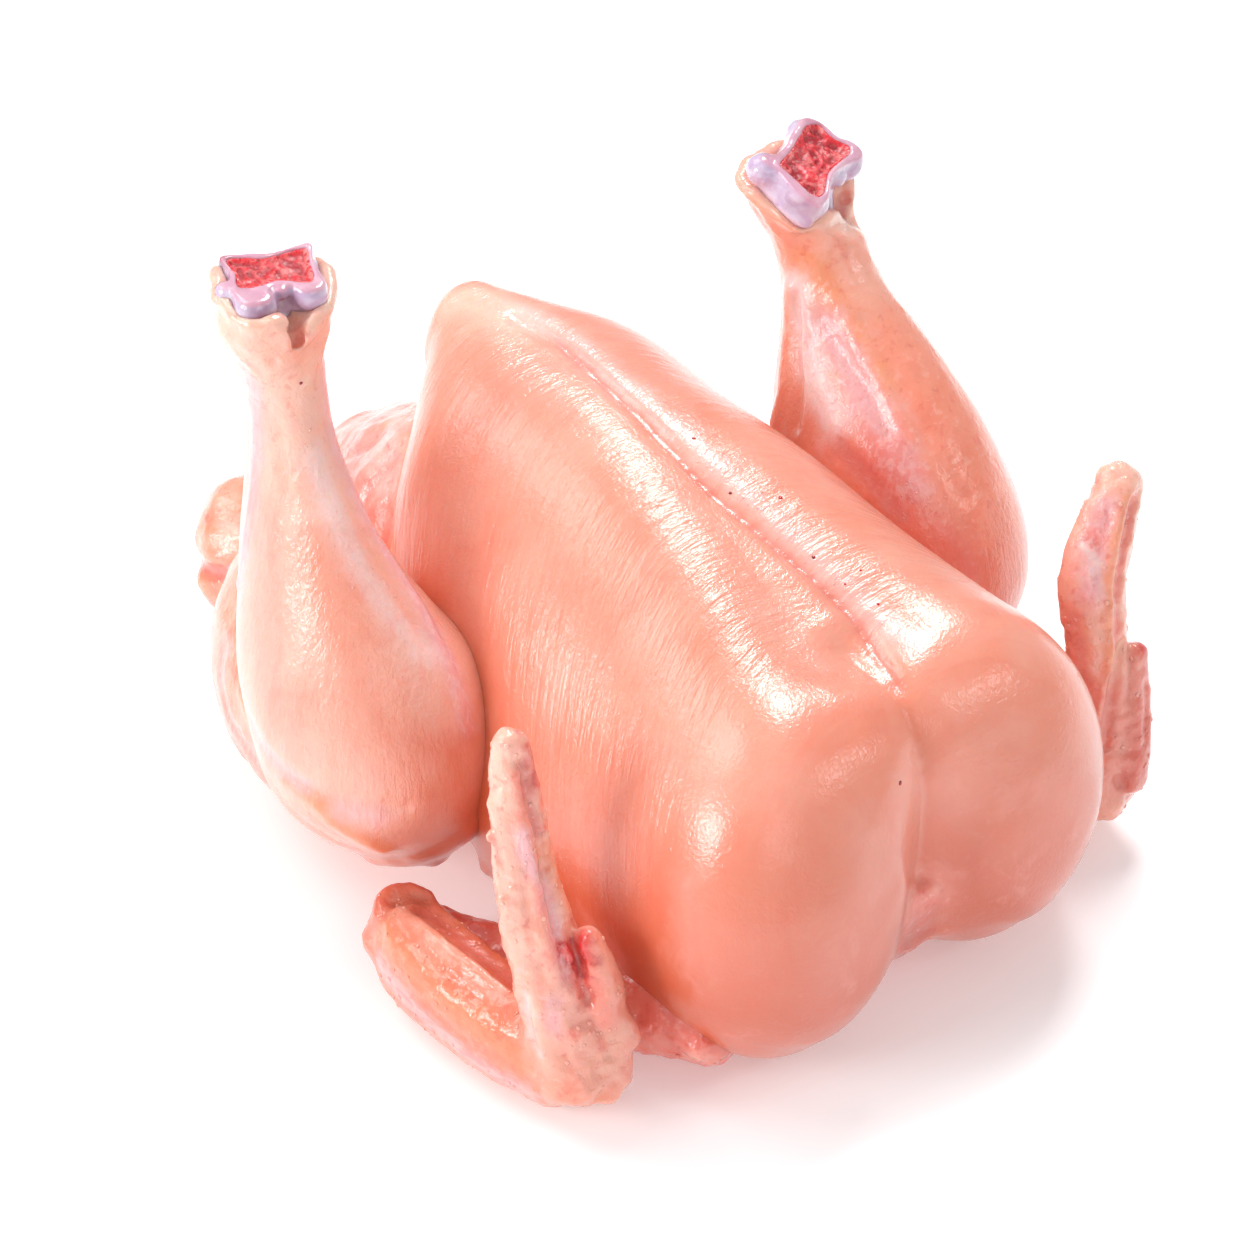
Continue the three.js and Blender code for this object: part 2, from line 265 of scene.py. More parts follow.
# Each shank: the middle of its cut face, that face's lean and heading in degrees, its shaft, and in the
# face's own plane the outline of the cut. Knobs of cartilage are places and radii in the same frame.
SHANKS = {
    "left": {
        "face": (-61.5, 47.5, 137.5),
        "lean": 6,
        "heading": -23,
        "shaft": form(
            "y",
            (3, 3),
            ((-61, 48.5, 128), 5.5, 4.5),
            ((-60, 48, 112), 4.5, 4),
            ((-61, 43, 84), 4, 4),
            ((-60, 34, 52), 5, 5),
        ),
        "outline": [
            (-8.2, 7.6), (-3, 7.2), (1, 6.4), (5, 7.0), (8.9, 7.6), (8.4, 3.5), (8.6, -1.5), (7.6, -5.6),
            (4.0, -4.8), (1.6, -3.4), (-0.8, -3.2), (-3.0, -4.2), (-7.4, -4.6), (-8.0, -1.5), (-7.3, 3),
        ],
        "core": [
            (-7.0, 6.2), (-3.9, 6.2), (-0.2, 5.0), (3.4, 5.6), (7.8, 6.2), (7.3, 1.4), (7.2, -2.2),
            (6.2, -4.0), (3.6, -3.2), (1.3, -2.0), (-0.4, -1.8), (-2.2, -2.6), (-4.6, -2.8), (-6.8, -2.0),
            (-6.4, 1.9),
        ],
        "knobs": [
            ((-4.3, -4.9, -2.9), 4.1),
            ((6.0, -3.9, -2.4), 3.4),
            ((-6.0, 4.6, -4.6), 3.4),
            ((6.4, 5.0, -4.4), 3.4),
            ((0.8, -3.9, -1.5), 1.6),
            ((-8.8, -0.6, -2.2), 2.0),
        ],
        "slots": [([(1.8, -5.4, -3.0), (2.0, -5.8, -4.8)], 0.9)],
        "blushes": [
            ((-4.0, -8.4, -3.4), 3.2),
            ((1.0, -5.2, -2.2), 2.2),
            ((-8.0, 7.4, 0.0), 2.4),
            ((2.0, 6.6, 0.0), 3.0),
        ],
    },
    "right": {
        "face": (59, 34, 123.5),
        "lean": 28,
        "heading": 22,
        "shaft": form(
            "y",
            (3, 3),
            ((59.5, 36, 114), 5.5, 4.5),
            ((60, 33, 104), 4.5, 4),
            ((60, 22, 80), 4, 4),
            ((59, 8, 52), 5, 5),
        ),
        "outline": [
            (-11.4, -7.8), (-7, -7.8), (-1.5, -5.9), (3.5, -5.9), (9.6, -7.2), (11.4, -4.4), (9.9, -0.9),
            (10.2, 3), (8.3, 6.3), (3.4, 6.5), (-2, 5.4), (-9.2, 5.2), (-11.0, 1.0), (-12.0, -3.8),
        ],
        "core": [
            (6.0, 5.2), (9.2, 3.4), (8.4, 0.0), (9.6, -3.6), (7.6, -4.9), (2.4, -4.5), (-1.4, -4.6),
            (-7.3, -6.6), (-9.9, -5.2), (-9.3, 0.7), (-8.7, 3.4), (-2.8, 3.9), (2.6, 4.7),
        ],
        "knobs": [
            ((9.6, -4.8, -3.8), 3.8),
            ((7.0, 4.8, -3.6), 3.5),
            ((-9.2, 5.6, -3.4), 3.4),
            ((-7.6, -5.8, -3.6), 3.4),
            ((3.6, -6.2, -3.4), 1.8),
        ],
        "slots": [([(4.0, -8.0, -3.4), (4.2, -8.4, -6.0)], 0.9)],
        "blushes": [((11.4, -6.0, -4.0), 3.4), ((9.6, 5.0, -2.0), 3.0), ((-6.4, 6.4, -1.0), 2.2)],
    },
}

# A bone's head narrows below its cut face: heights and shares of the outline's size.
HEAD_TAPER = ((-15, 0.35), (-11, 0.74), (-6, 1.05), (-2, 1.0), (4, 1.0))

TRUNK = {
    "breast_left": (BREAST, 0.0),
    "breast_right": (BREAST, 0.9),
    "keel": (KEEL, 10.0),
    "ribs": (RIBS, 3.0),
    "belly": (BELLY, 3.0),
    "tail": (TAIL, 6.0),
    "neck": (NECK, 4.0),
}
LEFT_LEG = {"left_thigh": (LEFT_THIGH, 0.0), "left_drumstick": (LEFT_DRUMSTICK, 7.0)}
RIGHT_LEG = {"right_thigh": (RIGHT_THIGH, 0.0), "right_drumstick": (RIGHT_DRUMSTICK, 7.0)}
LEFT_WING = {
    "left_upper_wing": (LEFT_UPPER_WING, 0.0),
    "left_forearm": (LEFT_FOREARM, 2.0),
    "left_hand": (LEFT_HAND, 2.5),
    "left_thumb": (LEFT_THUMB, 0.3),
}
RIGHT_WING = {
    "right_upper_wing": (RIGHT_UPPER_WING, 0.0),
    "right_forearm": (RIGHT_FOREARM, 2.0),
    "right_hand": (RIGHT_HAND, 2.5),
    "right_thumb": (RIGHT_THUMB, 0.3),
}
# Every group of forms with how softly it runs into the ones before it, in millimetres.
GROUPS = {
    "trunk": (TRUNK, 0.0),
    "left_leg": (LEFT_LEG, 2.0),
    "right_leg": (RIGHT_LEG, 2.0),
    "left_wing": (LEFT_WING, 0.0),
    "right_wing": (RIGHT_WING, 0.0),
}


# ---- Strokes: a path in millimetres, its half-breadth, and the height it raises or carves ----

# Paths that both the relief and the paint follow.
FAT_ROUND_KNEE = [
    (-81, 24, 45.5), (-80.3, 16.7, 43.4), (-78.1, 14, 39.6), (-75.6, 11, 36.4), (-70.6, 9.6, 30.8),
]
THIGH_FILM = [(-63, 70, 40), (-66, 68, 33), (-69, 61, 29), (-71, 51, 28)]
TAIL_NUB = [(-33.2, 124, 12), (-32, 123, 7)]
LEFT_FOREARM_STROKES = [
    # Fold and channel along the top, the muscles beside them, the strip of skin, the curled elbow.
    (
        [(-73.3, 1, 22.4), (-73.3, -8, 23.9), (-73.3, -14, 23.7), (-72.7, -21, 23.2), (-71.8, -29, 22.3)],
        0.9, 1.1,
    ),
    ([(-69.7, -3, 23.5), (-69.2, -12.6, 23.3), (-68.7, -20, 22.7), (-68.4, -28, 22)], 2.3, -2.2),
    ([(-65.5, 0, 21), (-65, -12, 21), (-64.5, -24, 20)], 1.5, 0.7),
    ([(-76, -1, 21.6), (-76.8, -10, 22), (-76.6, -19, 21), (-75.4, -28, 20)], 1.0, -0.7),
    ([(-77, -1.6, 20), (-78, -11.5, 19.6), (-78, -20.6, 18.6), (-76.5, -32, 17.5)], 2.0, 0.5),
    ([(-79.4, 0.6, 15), (-80.4, -9, 15), (-80, -18, 14), (-78, -30, 13)], 1.0, -0.6),
    ([(-79, 0, 9), (-80, -10, 8), (-79, -22, 7), (-77, -34, 7)], 2.4, 0.5),
    ([(-75.4, 5, 20), (-72, 7.6, 22), (-67.4, 6.4, 22.6), (-65.5, 2.6, 21.6)], 1.5, 1.7),
    ([(-72, 3.4, 22.6), (-69.5, 2.4, 23), (-67.2, 1, 22.2)], 1.3, -1.6),
    ([(-78, 7, 14), (-74, 12, 13), (-69, 13, 12)], 2.4, 0.9),
    ([(-77.5, 8, 9), (-73, 12.5, 8)], 1.2, -0.8),
]
# The right forearm has the same strokes, mirrored and moved onto its own muscles.
RIGHT_FOREARM_STROKES = [
    ([(-x - 1.4, y - 1.6, z) for x, y, z in path], breadth, height)
    for path, breadth, height in LEFT_FOREARM_STROKES
]
RELIEF = {
    "flesh": [
        # The keel line, the uneven silvery band beside it, and the low welts of muscle next to both.
        (
            [
                (0.4, 56, 98.6), (2.2, 44, 97.2), (1.6, 30, 95.8), (0.9, 13, 92.8), (0.5, -2, 88.2),
                (2.9, -17, 82.8), (5.6, -30, 78.2), (5.8, -39, 74.8), (4.2, -47, 72.6), (2.4, -54, 71),
            ],
            1.2, -1.0,
        ),
        (
            [
                (3, 57, 98), (5, 43, 96.4), (4.6, 24, 94.3), (5, 5, 90.6), (6.4, -13, 84.6), (9, -32, 77.6),
                (10, -46, 73.6),
            ],
            2.2, 0.22,
        ),
        # The bulge of flesh on each side of the cleft.
        ([(-7, -52, 71), (-8, -60, 64), (-9, -66, 54), (-11, -70, 42)], 6.0, 0.7),
        ([(7, -52, 71), (8, -60, 64), (9, -66, 54), (11, -70, 42)], 6.0, 0.5),
        ([(-12, -71, 44), (-16, -74, 34), (-18, -74, 24)], 5.0, 0.4),
        # The breast's rim over the belly wall.
        ([(-6, 71, 88), (-12, 69, 76), (-17, 71, 63), (-26, 63, 54), (-34, 52, 48)], 1.3, 0.6),
        ([(-7, 74, 84), (-14, 73, 73), (-20, 72, 61), (-29, 64, 51)], 1.4, -1.1),
        ([(7, 74, 84), (14, 73, 73), (20, 72, 61), (29, 64, 51)], 1.4, -1.1),
        # Left drumstick: film edges down both sides, the hollow behind the shin, the calf's swell.
        (
            [
                (-56, 39.4, 106), (-55, 35.6, 94.5), (-54, 31.8, 87.4), (-52.6, 26.4, 79.9),
                (-51.6, 19.9, 73.2), (-52.3, 13.2, 67.4), (-52.9, 8, 60.7), (-53.7, 5, 54),
            ],
            1.1, 0.6,
        ),
        ([(-58.5, 38, 106), (-58, 34, 94), (-57.5, 29, 86), (-56.4, 22, 78), (-55.6, 14, 70)], 1.5, -0.45),
        ([(-67.5, 46.9, 110), (-68.3, 47.2, 100), (-71.2, 46.9, 86), (-73.1, 48.1, 73)], 1.1, 0.55),
        ([(-66.5, 43, 112), (-66.5, 40, 100), (-69, 37, 88), (-72.5, 35, 76)], 1.5, -0.3),
        ([(-62, 30, 92), (-61, 20, 79), (-59, 13, 70)], 3.0, 0.35),
        # The film and fat that run from the drumstick's foot round to the thigh.
        (
            [(-80, 37, 50), (-82, 28, 47.7), (-80.9, 18.7, 46.4), (-76.1, 10.6, 45.2), (-68.1, 4.7, 42.9)],
            1.6, -0.7,
        ),
        (FAT_ROUND_KNEE, 1.9, 1.1),
        ([(-81, 30, 40), (-79, 20, 34), (-74, 13, 28), (-66, 10, 23)], 1.4, -0.7),
        ([(-75, 46, 44), (-77, 36, 36), (-75, 26, 27), (-68, 17, 19)], 1.4, 0.6),
        (THIGH_FILM, 1.4, -0.7),
        ([(-68, 58, 38), (-71, 50, 36), (-75, 44, 38)], 1.8, 0.7),
        ([(-60, 76, 34), (-65, 70, 26), (-68, 60, 22)], 1.4, 0.6),
        ([(-58.6, 8.6, 20), (-53, 7, 17), (-48, 7, 15)], 2.2, 1.4),
        # Right drumstick: the web of film, the fan of sinew, the long muscles outside it.
        ([(50.8, 31, 97), (48.4, 28.6, 86), (45.4, 26.5, 78), (44, 27, 70)], 2.0, 1.3),
        ([(50.8, 28.6, 97), (48.5, 25.6, 89), (45.6, 22, 82), (42.5, 19, 74)], 1.2, -1.2),
        ([(50.8, 27, 97), (48.2, 22.6, 89), (45.8, 16, 83), (44, 8, 78)], 2.6, 0.6),
        ([(50.7, 21, 95), (50.1, 14.3, 90), (50, 6.6, 85), (48.8, 0, 80)], 1.6, -0.7),
        ([(43.1, 6, 75.6), (43.4, -2.4, 71.8), (45.2, -9.3, 66.7)], 1.8, -0.5),
        (
            [(56.2, 15, 96), (55.6, 6.8, 89.6), (54.7, -1.8, 82.5), (54.4, -8.4, 76), (56.7, -15, 68.5)],
            1.3, -0.5,
        ),
        ([(52.6, 20, 99), (53, 12, 92), (52.4, 4, 86), (51.8, -4, 79)], 1.5, 0.5),
        ([(66.5, 24, 101), (69, 14, 90), (72, 2, 76), (74, -10, 62)], 1.5, -0.4),
        # Belly wall: folds on both sides.
        ([(-23, 84, 51), (-20, 80, 57.5), (-14.8, 78.7, 63)], 1.9, 1.2),
        ([(-25, 78, 50), (-22, 75.5, 57), (-17, 75.5, 62.5)], 1.2, -1.1),
        ([(-12, 103, 48), (-17, 92, 54), (-14, 86, 60)], 1.5, -1.1),
        ([(-8, 104, 50), (-11, 95, 57), (-9, 88, 62)], 1.7, 0.9),
        ([(-28, 96, 42), (-30, 86, 46), (-33, 78, 47)], 1.6, 0.8),
        ([(23, 84, 51), (20, 80, 57.5), (14.8, 78.7, 63)], 1.9, 1.0),
        ([(12, 103, 48), (17, 92, 54), (14, 86, 60)], 1.5, -1.0),
        ([(28, 96, 42), (30, 86, 46), (33, 78, 47)], 1.6, 0.8),
        # Tail: the nub, the crease under it and the lumps on top.
        (TAIL_NUB, 3.0, 2.6),
        ([(-33, 117, 18), (-33.8, 121, 16.3), (-33, 127, 16), (-27, 134, 15.5), (-19, 137, 15)], 1.4, -2.6),
        ([(-26, 126, 28), (-30, 123.6, 24.6)], 3.0, 1.1),
        ([(-21, 130, 28), (-17, 133, 25)], 3.0, 1.0),
        ([(-32.5, 119, 21.5), (-31.5, 122, 20.5)], 1.8, 0.9),
        ([(-20, 121, 33), (-25, 118, 31)], 1.2, -0.9),
        ([(-8, 116, 40), (-18, 114, 37), (-26, 108, 35)], 1.5, -0.9),
        # The back: spine, hips and the ragged neck end.
        ([(0, 92, 4), (0, 60, 1.5), (0, 10, 1)], 3.0, -0.5),
        ([(-12, -70, 10), (-6, -66, 11), (0, -64, 9), (8, -64, 9)], 1.8, -1.5),
        ([(-14, -71, 4), (-6, -68, 4), (2, -66, 4), (10, -66, 4)], 2.0, 1.3),
        ([(-6, -64, 16), (2, -63, 15), (8, -62, 16)], 2.0, 1.2),
    ],
    "left_wing": [
        *LEFT_FOREARM_STROKES,
        # Hand: a ridge and a groove side by side from tip to wrist, and the nubs along the outer edge.
        (
            [
                (-68.6, -30, 72.4), (-69.4, -32, 66), (-69.5, -34, 60), (-69.5, -36.2, 53.6),
                (-69.8, -38.3, 48), (-70.5, -40.6, 42), (-70.6, -43.3, 35),
            ],
            1.0, 1.0,
        ),
        (
            [
                (-66.6, -30, 74), (-67.3, -31.5, 69), (-67.1, -32.5, 65.5), (-66.6, -33.7, 60.4),
                (-67, -36, 54),
            ],
            1.0, -1.3,
        ),
        ([(-67.8, -36.5, 54), (-68.2, -38.5, 48), (-68.4, -41, 42), (-68.8, -44, 34)], 1.0, -1.0),
        (
            [(-64.7, -29, 75), (-64.7, -30.6, 68), (-65.4, -33, 61), (-65.6, -36, 53), (-64.6, -39, 44)],
            1.0, 0.9,
        ),
        ([(-71.6, -29, 69), (-72.6, -32, 60), (-73.2, -35, 52)], 1.2, 0.5),
        ([(-72, -36.5, 50), (-72.4, -39, 42), (-72.6, -42, 34)], 1.1, -0.6),
        ([(-73, -27, 68), (-72.6, -27.4, 66.6)], 1.0, 1.0),
        ([(-74.4, -28.6, 61.4), (-74.6, -29, 60.4)], 0.9, 1.5),
        ([(-75.4, -31.6, 55.6), (-75.7, -32, 54.8)], 0.8, 1.9),
        ([(-75.4, -33.4, 50), (-75.5, -33.8, 49)], 0.9, 1.0),
        ([(-66.6, -25.4, 79), (-68.4, -26.6, 78.4)], 1.3, 0.9),
        ([(-65, -27, 78), (-64.6, -28.4, 76.6)], 1.0, 0.9),
        # Thumb, the torn red flesh beside it, and the wrist.
        ([(-64, -45, 42), (-63.3, -46.8, 36.5), (-62.4, -48.6, 31.5), (-62.6, -50.1, 24.4)], 1.4, 0.7),
        ([(-65.8, -42.0, 42), (-65.9, -43.2, 38.5), (-66.3, -45.2, 34), (-66.2, -47, 29)], 0.9, -1.6),
        ([(-68.3, -42.6, 39.2), (-67.2, -43.4, 37.6)], 1.0, 1.3),
        ([(-66.9, -45, 34.8), (-66, -46, 32.6)], 1.0, 1.2),
        ([(-65.4, -46.4, 36.6), (-64.8, -47, 35)], 0.8, 0.9),
        ([(-75.4, -39.6, 30), (-75.8, -40.6, 24), (-76, -42.4, 19)], 1.1, -1.5),
        ([(-74, -42.6, 29), (-74.3, -44, 22), (-74.6, -46, 17)], 1.3, 0.8),
        ([(-62, -50.9, 17), (-61.6, -52.6, 11.5), (-65.2, -53, 8)], 2.2, 1.2),
        ([(-66, -52.8, 12), (-70, -52.6, 9), (-74, -49, 8)], 1.3, -0.9),
        ([(-69, -49, 24), (-66, -51, 20)], 1.6, 0.6),
        ([(-72.4, -47.4, 20), (-70, -50.2, 16)], 1.4, -0.6),
        ([(-74, -48, 12), (-71, -51.4, 13)], 2.0, 0.7),
        # The flap of skin at the shoulder.
        ([(-59, -50, 20), (-52, -57, 13), (-44, -62, 9), (-36, -65, 7)], 2.6, 1.8),
        ([(-58, -48, 24), (-50, -55, 18), (-42, -60, 14)], 1.1, -1.2),
    ],
    "right_wing": [
        *RIGHT_FOREARM_STROKES,
        # Hand: the knuckly tip, the broad flange, the hollow beside the sinew and the channel beyond it.
        ([(75.2, -35, 76.6), (75.8, -35.6, 77)], 1.5, 1.2),
        ([(78.4, -35.4, 77.4), (78.9, -36.2, 77)], 1.4, 1.3),
        ([(80.6, -37.9, 74.8), (80.8, -38.4, 74)], 1.4, 1.3),
        ([(75.9, -39.6, 75.6), (76.6, -39.8, 75)], 1.4, 0.9),
        ([(69.6, -36.4, 71), (66.8, -36, 66.3), (64, -37, 62), (62.4, -37.8, 56), (62, -39.3, 50)], 1.6, 0.9),
        ([(71, -39.6, 71.4), (68, -40.8, 67), (66.2, -41.8, 63)], 2.2, -0.9),
        ([(65.3, -40, 66), (66.4, -41.2, 65)], 0.8, 1.0),
        ([(66.4, -42.6, 63), (65, -42.2, 61.6)], 0.8, 0.9),
        ([(64.6, -43.6, 59), (64.4, -44.6, 55)], 1.3, 0.5),
        (
            [
                (75.2, -40.8, 74), (71.8, -42.7, 69), (68.8, -44.3, 61.7), (67, -46.1, 54.6),
                (65.9, -48.6, 46.7), (64.5, -50.3, 40), (62, -51.6, 32),
            ],
            1.1, 1.1,
        ),
        (
            [(77, -41.2, 73), (73.8, -43.2, 67.6), (71.1, -44.6, 61.5), (68.9, -46.7, 54), (67.3, -49, 46.3)],
            0.9, -0.7,
        ),
        ([(79.3, -40.4, 72.6), (75.8, -42.6, 67.6), (72.8, -44.4, 61.6), (70.6, -46, 54)], 1.0, 0.5),
        ([(63, -42.6, 52), (62.4, -44.6, 46), (61.6, -46.4, 39)], 1.3, -0.6),
        (
            [
                (69.6, -49.0, 45), (67.4, -49.8, 43.6), (66.2, -50.6, 40.5), (64.4, -51.5, 36),
                (62.8, -52.2, 31), (62, -53.4, 26),
            ],
            1.1, -2.6,
        ),
        # Thumb and wrist.
        ([(72, -50.4, 41.4), (69.7, -51.8, 35), (67.5, -53.3, 28.6), (65.6, -55.1, 22)], 1.3, 0.8),
        ([(73.4, -52, 36), (72.6, -53.8, 30), (70.6, -55.4, 24)], 0.9, -0.8),
        ([(74.2, -51.4, 33), (73.6, -53, 26), (71, -55.4, 19)], 1.2, 0.7),
        ([(68.6, -56.6, 20), (66, -57.4, 15)], 1.3, 0.8),
        ([(64, -56.4, 18), (66.6, -57.4, 12), (69, -57, 8)], 1.2, -0.9),
        ([(62, -54, 12), (64, -57, 8)], 2.0, 1.0),
        ([(59, -50, 20), (52, -57, 13), (44, -62, 9), (36, -65, 7)], 2.6, 1.6),
        ([(58, -48, 24), (50, -55, 18), (42, -60, 14)], 1.1, -1.2),
    ],
}
# Rims of skin drawn up round each bone's head, in the head's own frame: a closed path and its thickness;
# then the hollows where sinew has drawn back: path and half-width; then strokes as above.
CUFFS = {
    "left": {
        "rim": [
            (-9.6, 2, -2.2), (-9.7, -1, -2.6), (-8.6, -4.8, -3.2), (-7.0, -7.7, -3.6), (-4.8, -9.1, -3.9),
            (-2.6, -9.3, -3.6), (-0.9, -9.1, -4.0), (0.1, -9.2, -6.2), (1.4, -9.4, -8.4), (3.4, -9.2, -7.8),
            (5.4, -8.4, -5.8), (7.4, -6.8, -4.6), (9.8, -2.6, -5.0), (10.6, 1, -4.8), (10.3, 5, -4.6),
            (6, 8.6, -4.4), (0, 9.2, -4.4), (-6, 8.2, -3.4), (-9.2, 5.2, -2.2),
        ],
        "thick": 1.35,
        "pits": [([(1.2, -8.6, -6.0), (1.8, -9.2, -8.6)], 1.9)],
        "strokes": [
            ([(-8.6, -4.6, -8), (-7.6, -7.0, -13), (-5.0, -8.4, -18)], 0.9, 0.5),
            ([(8.4, -4.6, -11), (6.6, -7.0, -15), (4.4, -8.2, -20)], 0.9, 0.5),
            ([(-3.4, -9.4, -8.4), (-2.0, -9.2, -13)], 0.9, -0.5),
            ([(4.6, -9.0, -11), (3.0, -8.8, -15)], 0.8, -0.5),
            ([(-10.6, -1.4, -7), (-9.6, -3.6, -12)], 1.0, -0.5),
        ],
    },
    "right": {
        "rim": [
            (-9.6, 7, -9.0), (-10.4, 3, -8.6), (-10.0, -3, -7.8), (-7.4, -7.6, -7.4), (-3.0, -9.2, -8.0),
            (1.6, -10.2, -10.0), (5.2, -10.8, -11.8), (8.0, -10.2, -10.6), (10.0, -8.4, -8.6),
            (10.8, -5.0, -7.6), (10.8, 0, -8.0), (8.4, 6.0, -9.0), (2, 8.6, -9.4), (-6, 8.8, -9.2),
        ],
        "thick": 1.5,
        "pits": [
            ([(3.6, -9.6, -9.0), (4.4, -9.8, -10.6)], 1.9),
            ([(7.6, -9.0, -8.8), (7.8, -9.2, -9.8)], 1.2),
        ],
        "strokes": [
            ([(-8.6, -5.4, -13), (-6.0, -8.2, -17), (-3.0, -9.2, -22)], 1.0, 0.6),
            ([(7.4, -9.6, -15), (6.2, -9.6, -20)], 1.0, 0.6),
            ([(1.6, -11.4, -16), (1.4, -10.2, -21)], 0.9, -0.6),
            ([(-7.0, -8.4, -12), (-2.4, -10.6, -14)], 0.9, -0.5),
            ([(-10.8, 2, -12), (-9.4, -2, -17)], 1.1, -0.5),
        ],
    },
}

# How much each zone is rumpled: the height of its lumps in millimetres.
RUMPLE = {
    "belly": 0.8,
    "tail": 0.9,
    "neck": 0.9,
    "left_hand": 0.6,
    "right_hand": 0.55,
    "left_thumb": 0.4,
    "right_thumb": 0.4,
    "left_forearm": 0.4,
    "right_forearm": 0.4,
    "left_upper_wing": 0.6,
    "right_upper_wing": 0.6,
    "left_thigh": 0.35,
    "right_thigh": 0.35,
    "ribs": 0.5,
    "left_drumstick": 0.1,
    "right_drumstick": 0.1,
    "breast_left": 0.06,
    "breast_right": 0.06,
    "keel": 0.1,
}
# The size of those lumps on each piece, coarse and fine, in millimetres.
LUMPS = {"flesh": (6.5, 3.4), "left_wing": (3.6, 1.7), "right_wing": (3.8, 1.8)}


# ---- Colours, as seen on a screen ----

PALETTE = {
    "pink": (250, 160, 136),
    "pale": (252, 190, 172),
    "cream": (253, 204, 184),
    "skin": (253, 190, 168),
    "peach": (248, 152, 114),
    # amber (the crease colour) is painted shade in creases, on the flanks and under the lobes, and also a
    # random warm tone; umber is painted shade laid low towards the floor.
    "amber": (228, 112, 64),
    "umber": (196, 74, 34),
    "tan": (228, 142, 106),
    "brick": (208, 96, 80),
    "fat": (248, 160, 116),
    "lilac": (244, 188, 194),
    # mauve lies mostly along carved grooves: partly their own colour, partly painted shade.
    "mauve": (222, 124, 124),
    "silver": (252, 224, 222),
    "rose": (240, 122, 108),
    "blood": (214, 20, 36),
    # dark is painted shade, laid in clefts, in the neck opening, in the elbow's groove and under the knee.
    "dark": (156, 66, 50),
}
# The colour of each zone.
ZONE_COLOUR = {
    "breast_left": "pink",
    "breast_right": "pink",
    "keel": "pink",
    "ribs": "rose",
    "belly": "pink",
    "tail": "peach",
    "neck": "rose",
    "left_thigh": "peach",
    "right_thigh": "peach",
    "left_drumstick": "pale",
    "right_drumstick": "pink",
    "left_upper_wing": "rose",
    "right_upper_wing": "rose",
    "left_forearm": "tan",
    "right_forearm": "tan",
    "left_hand": "skin",
    "right_hand": "skin",
    "left_thumb": "skin",
    "right_thumb": "brick",
}
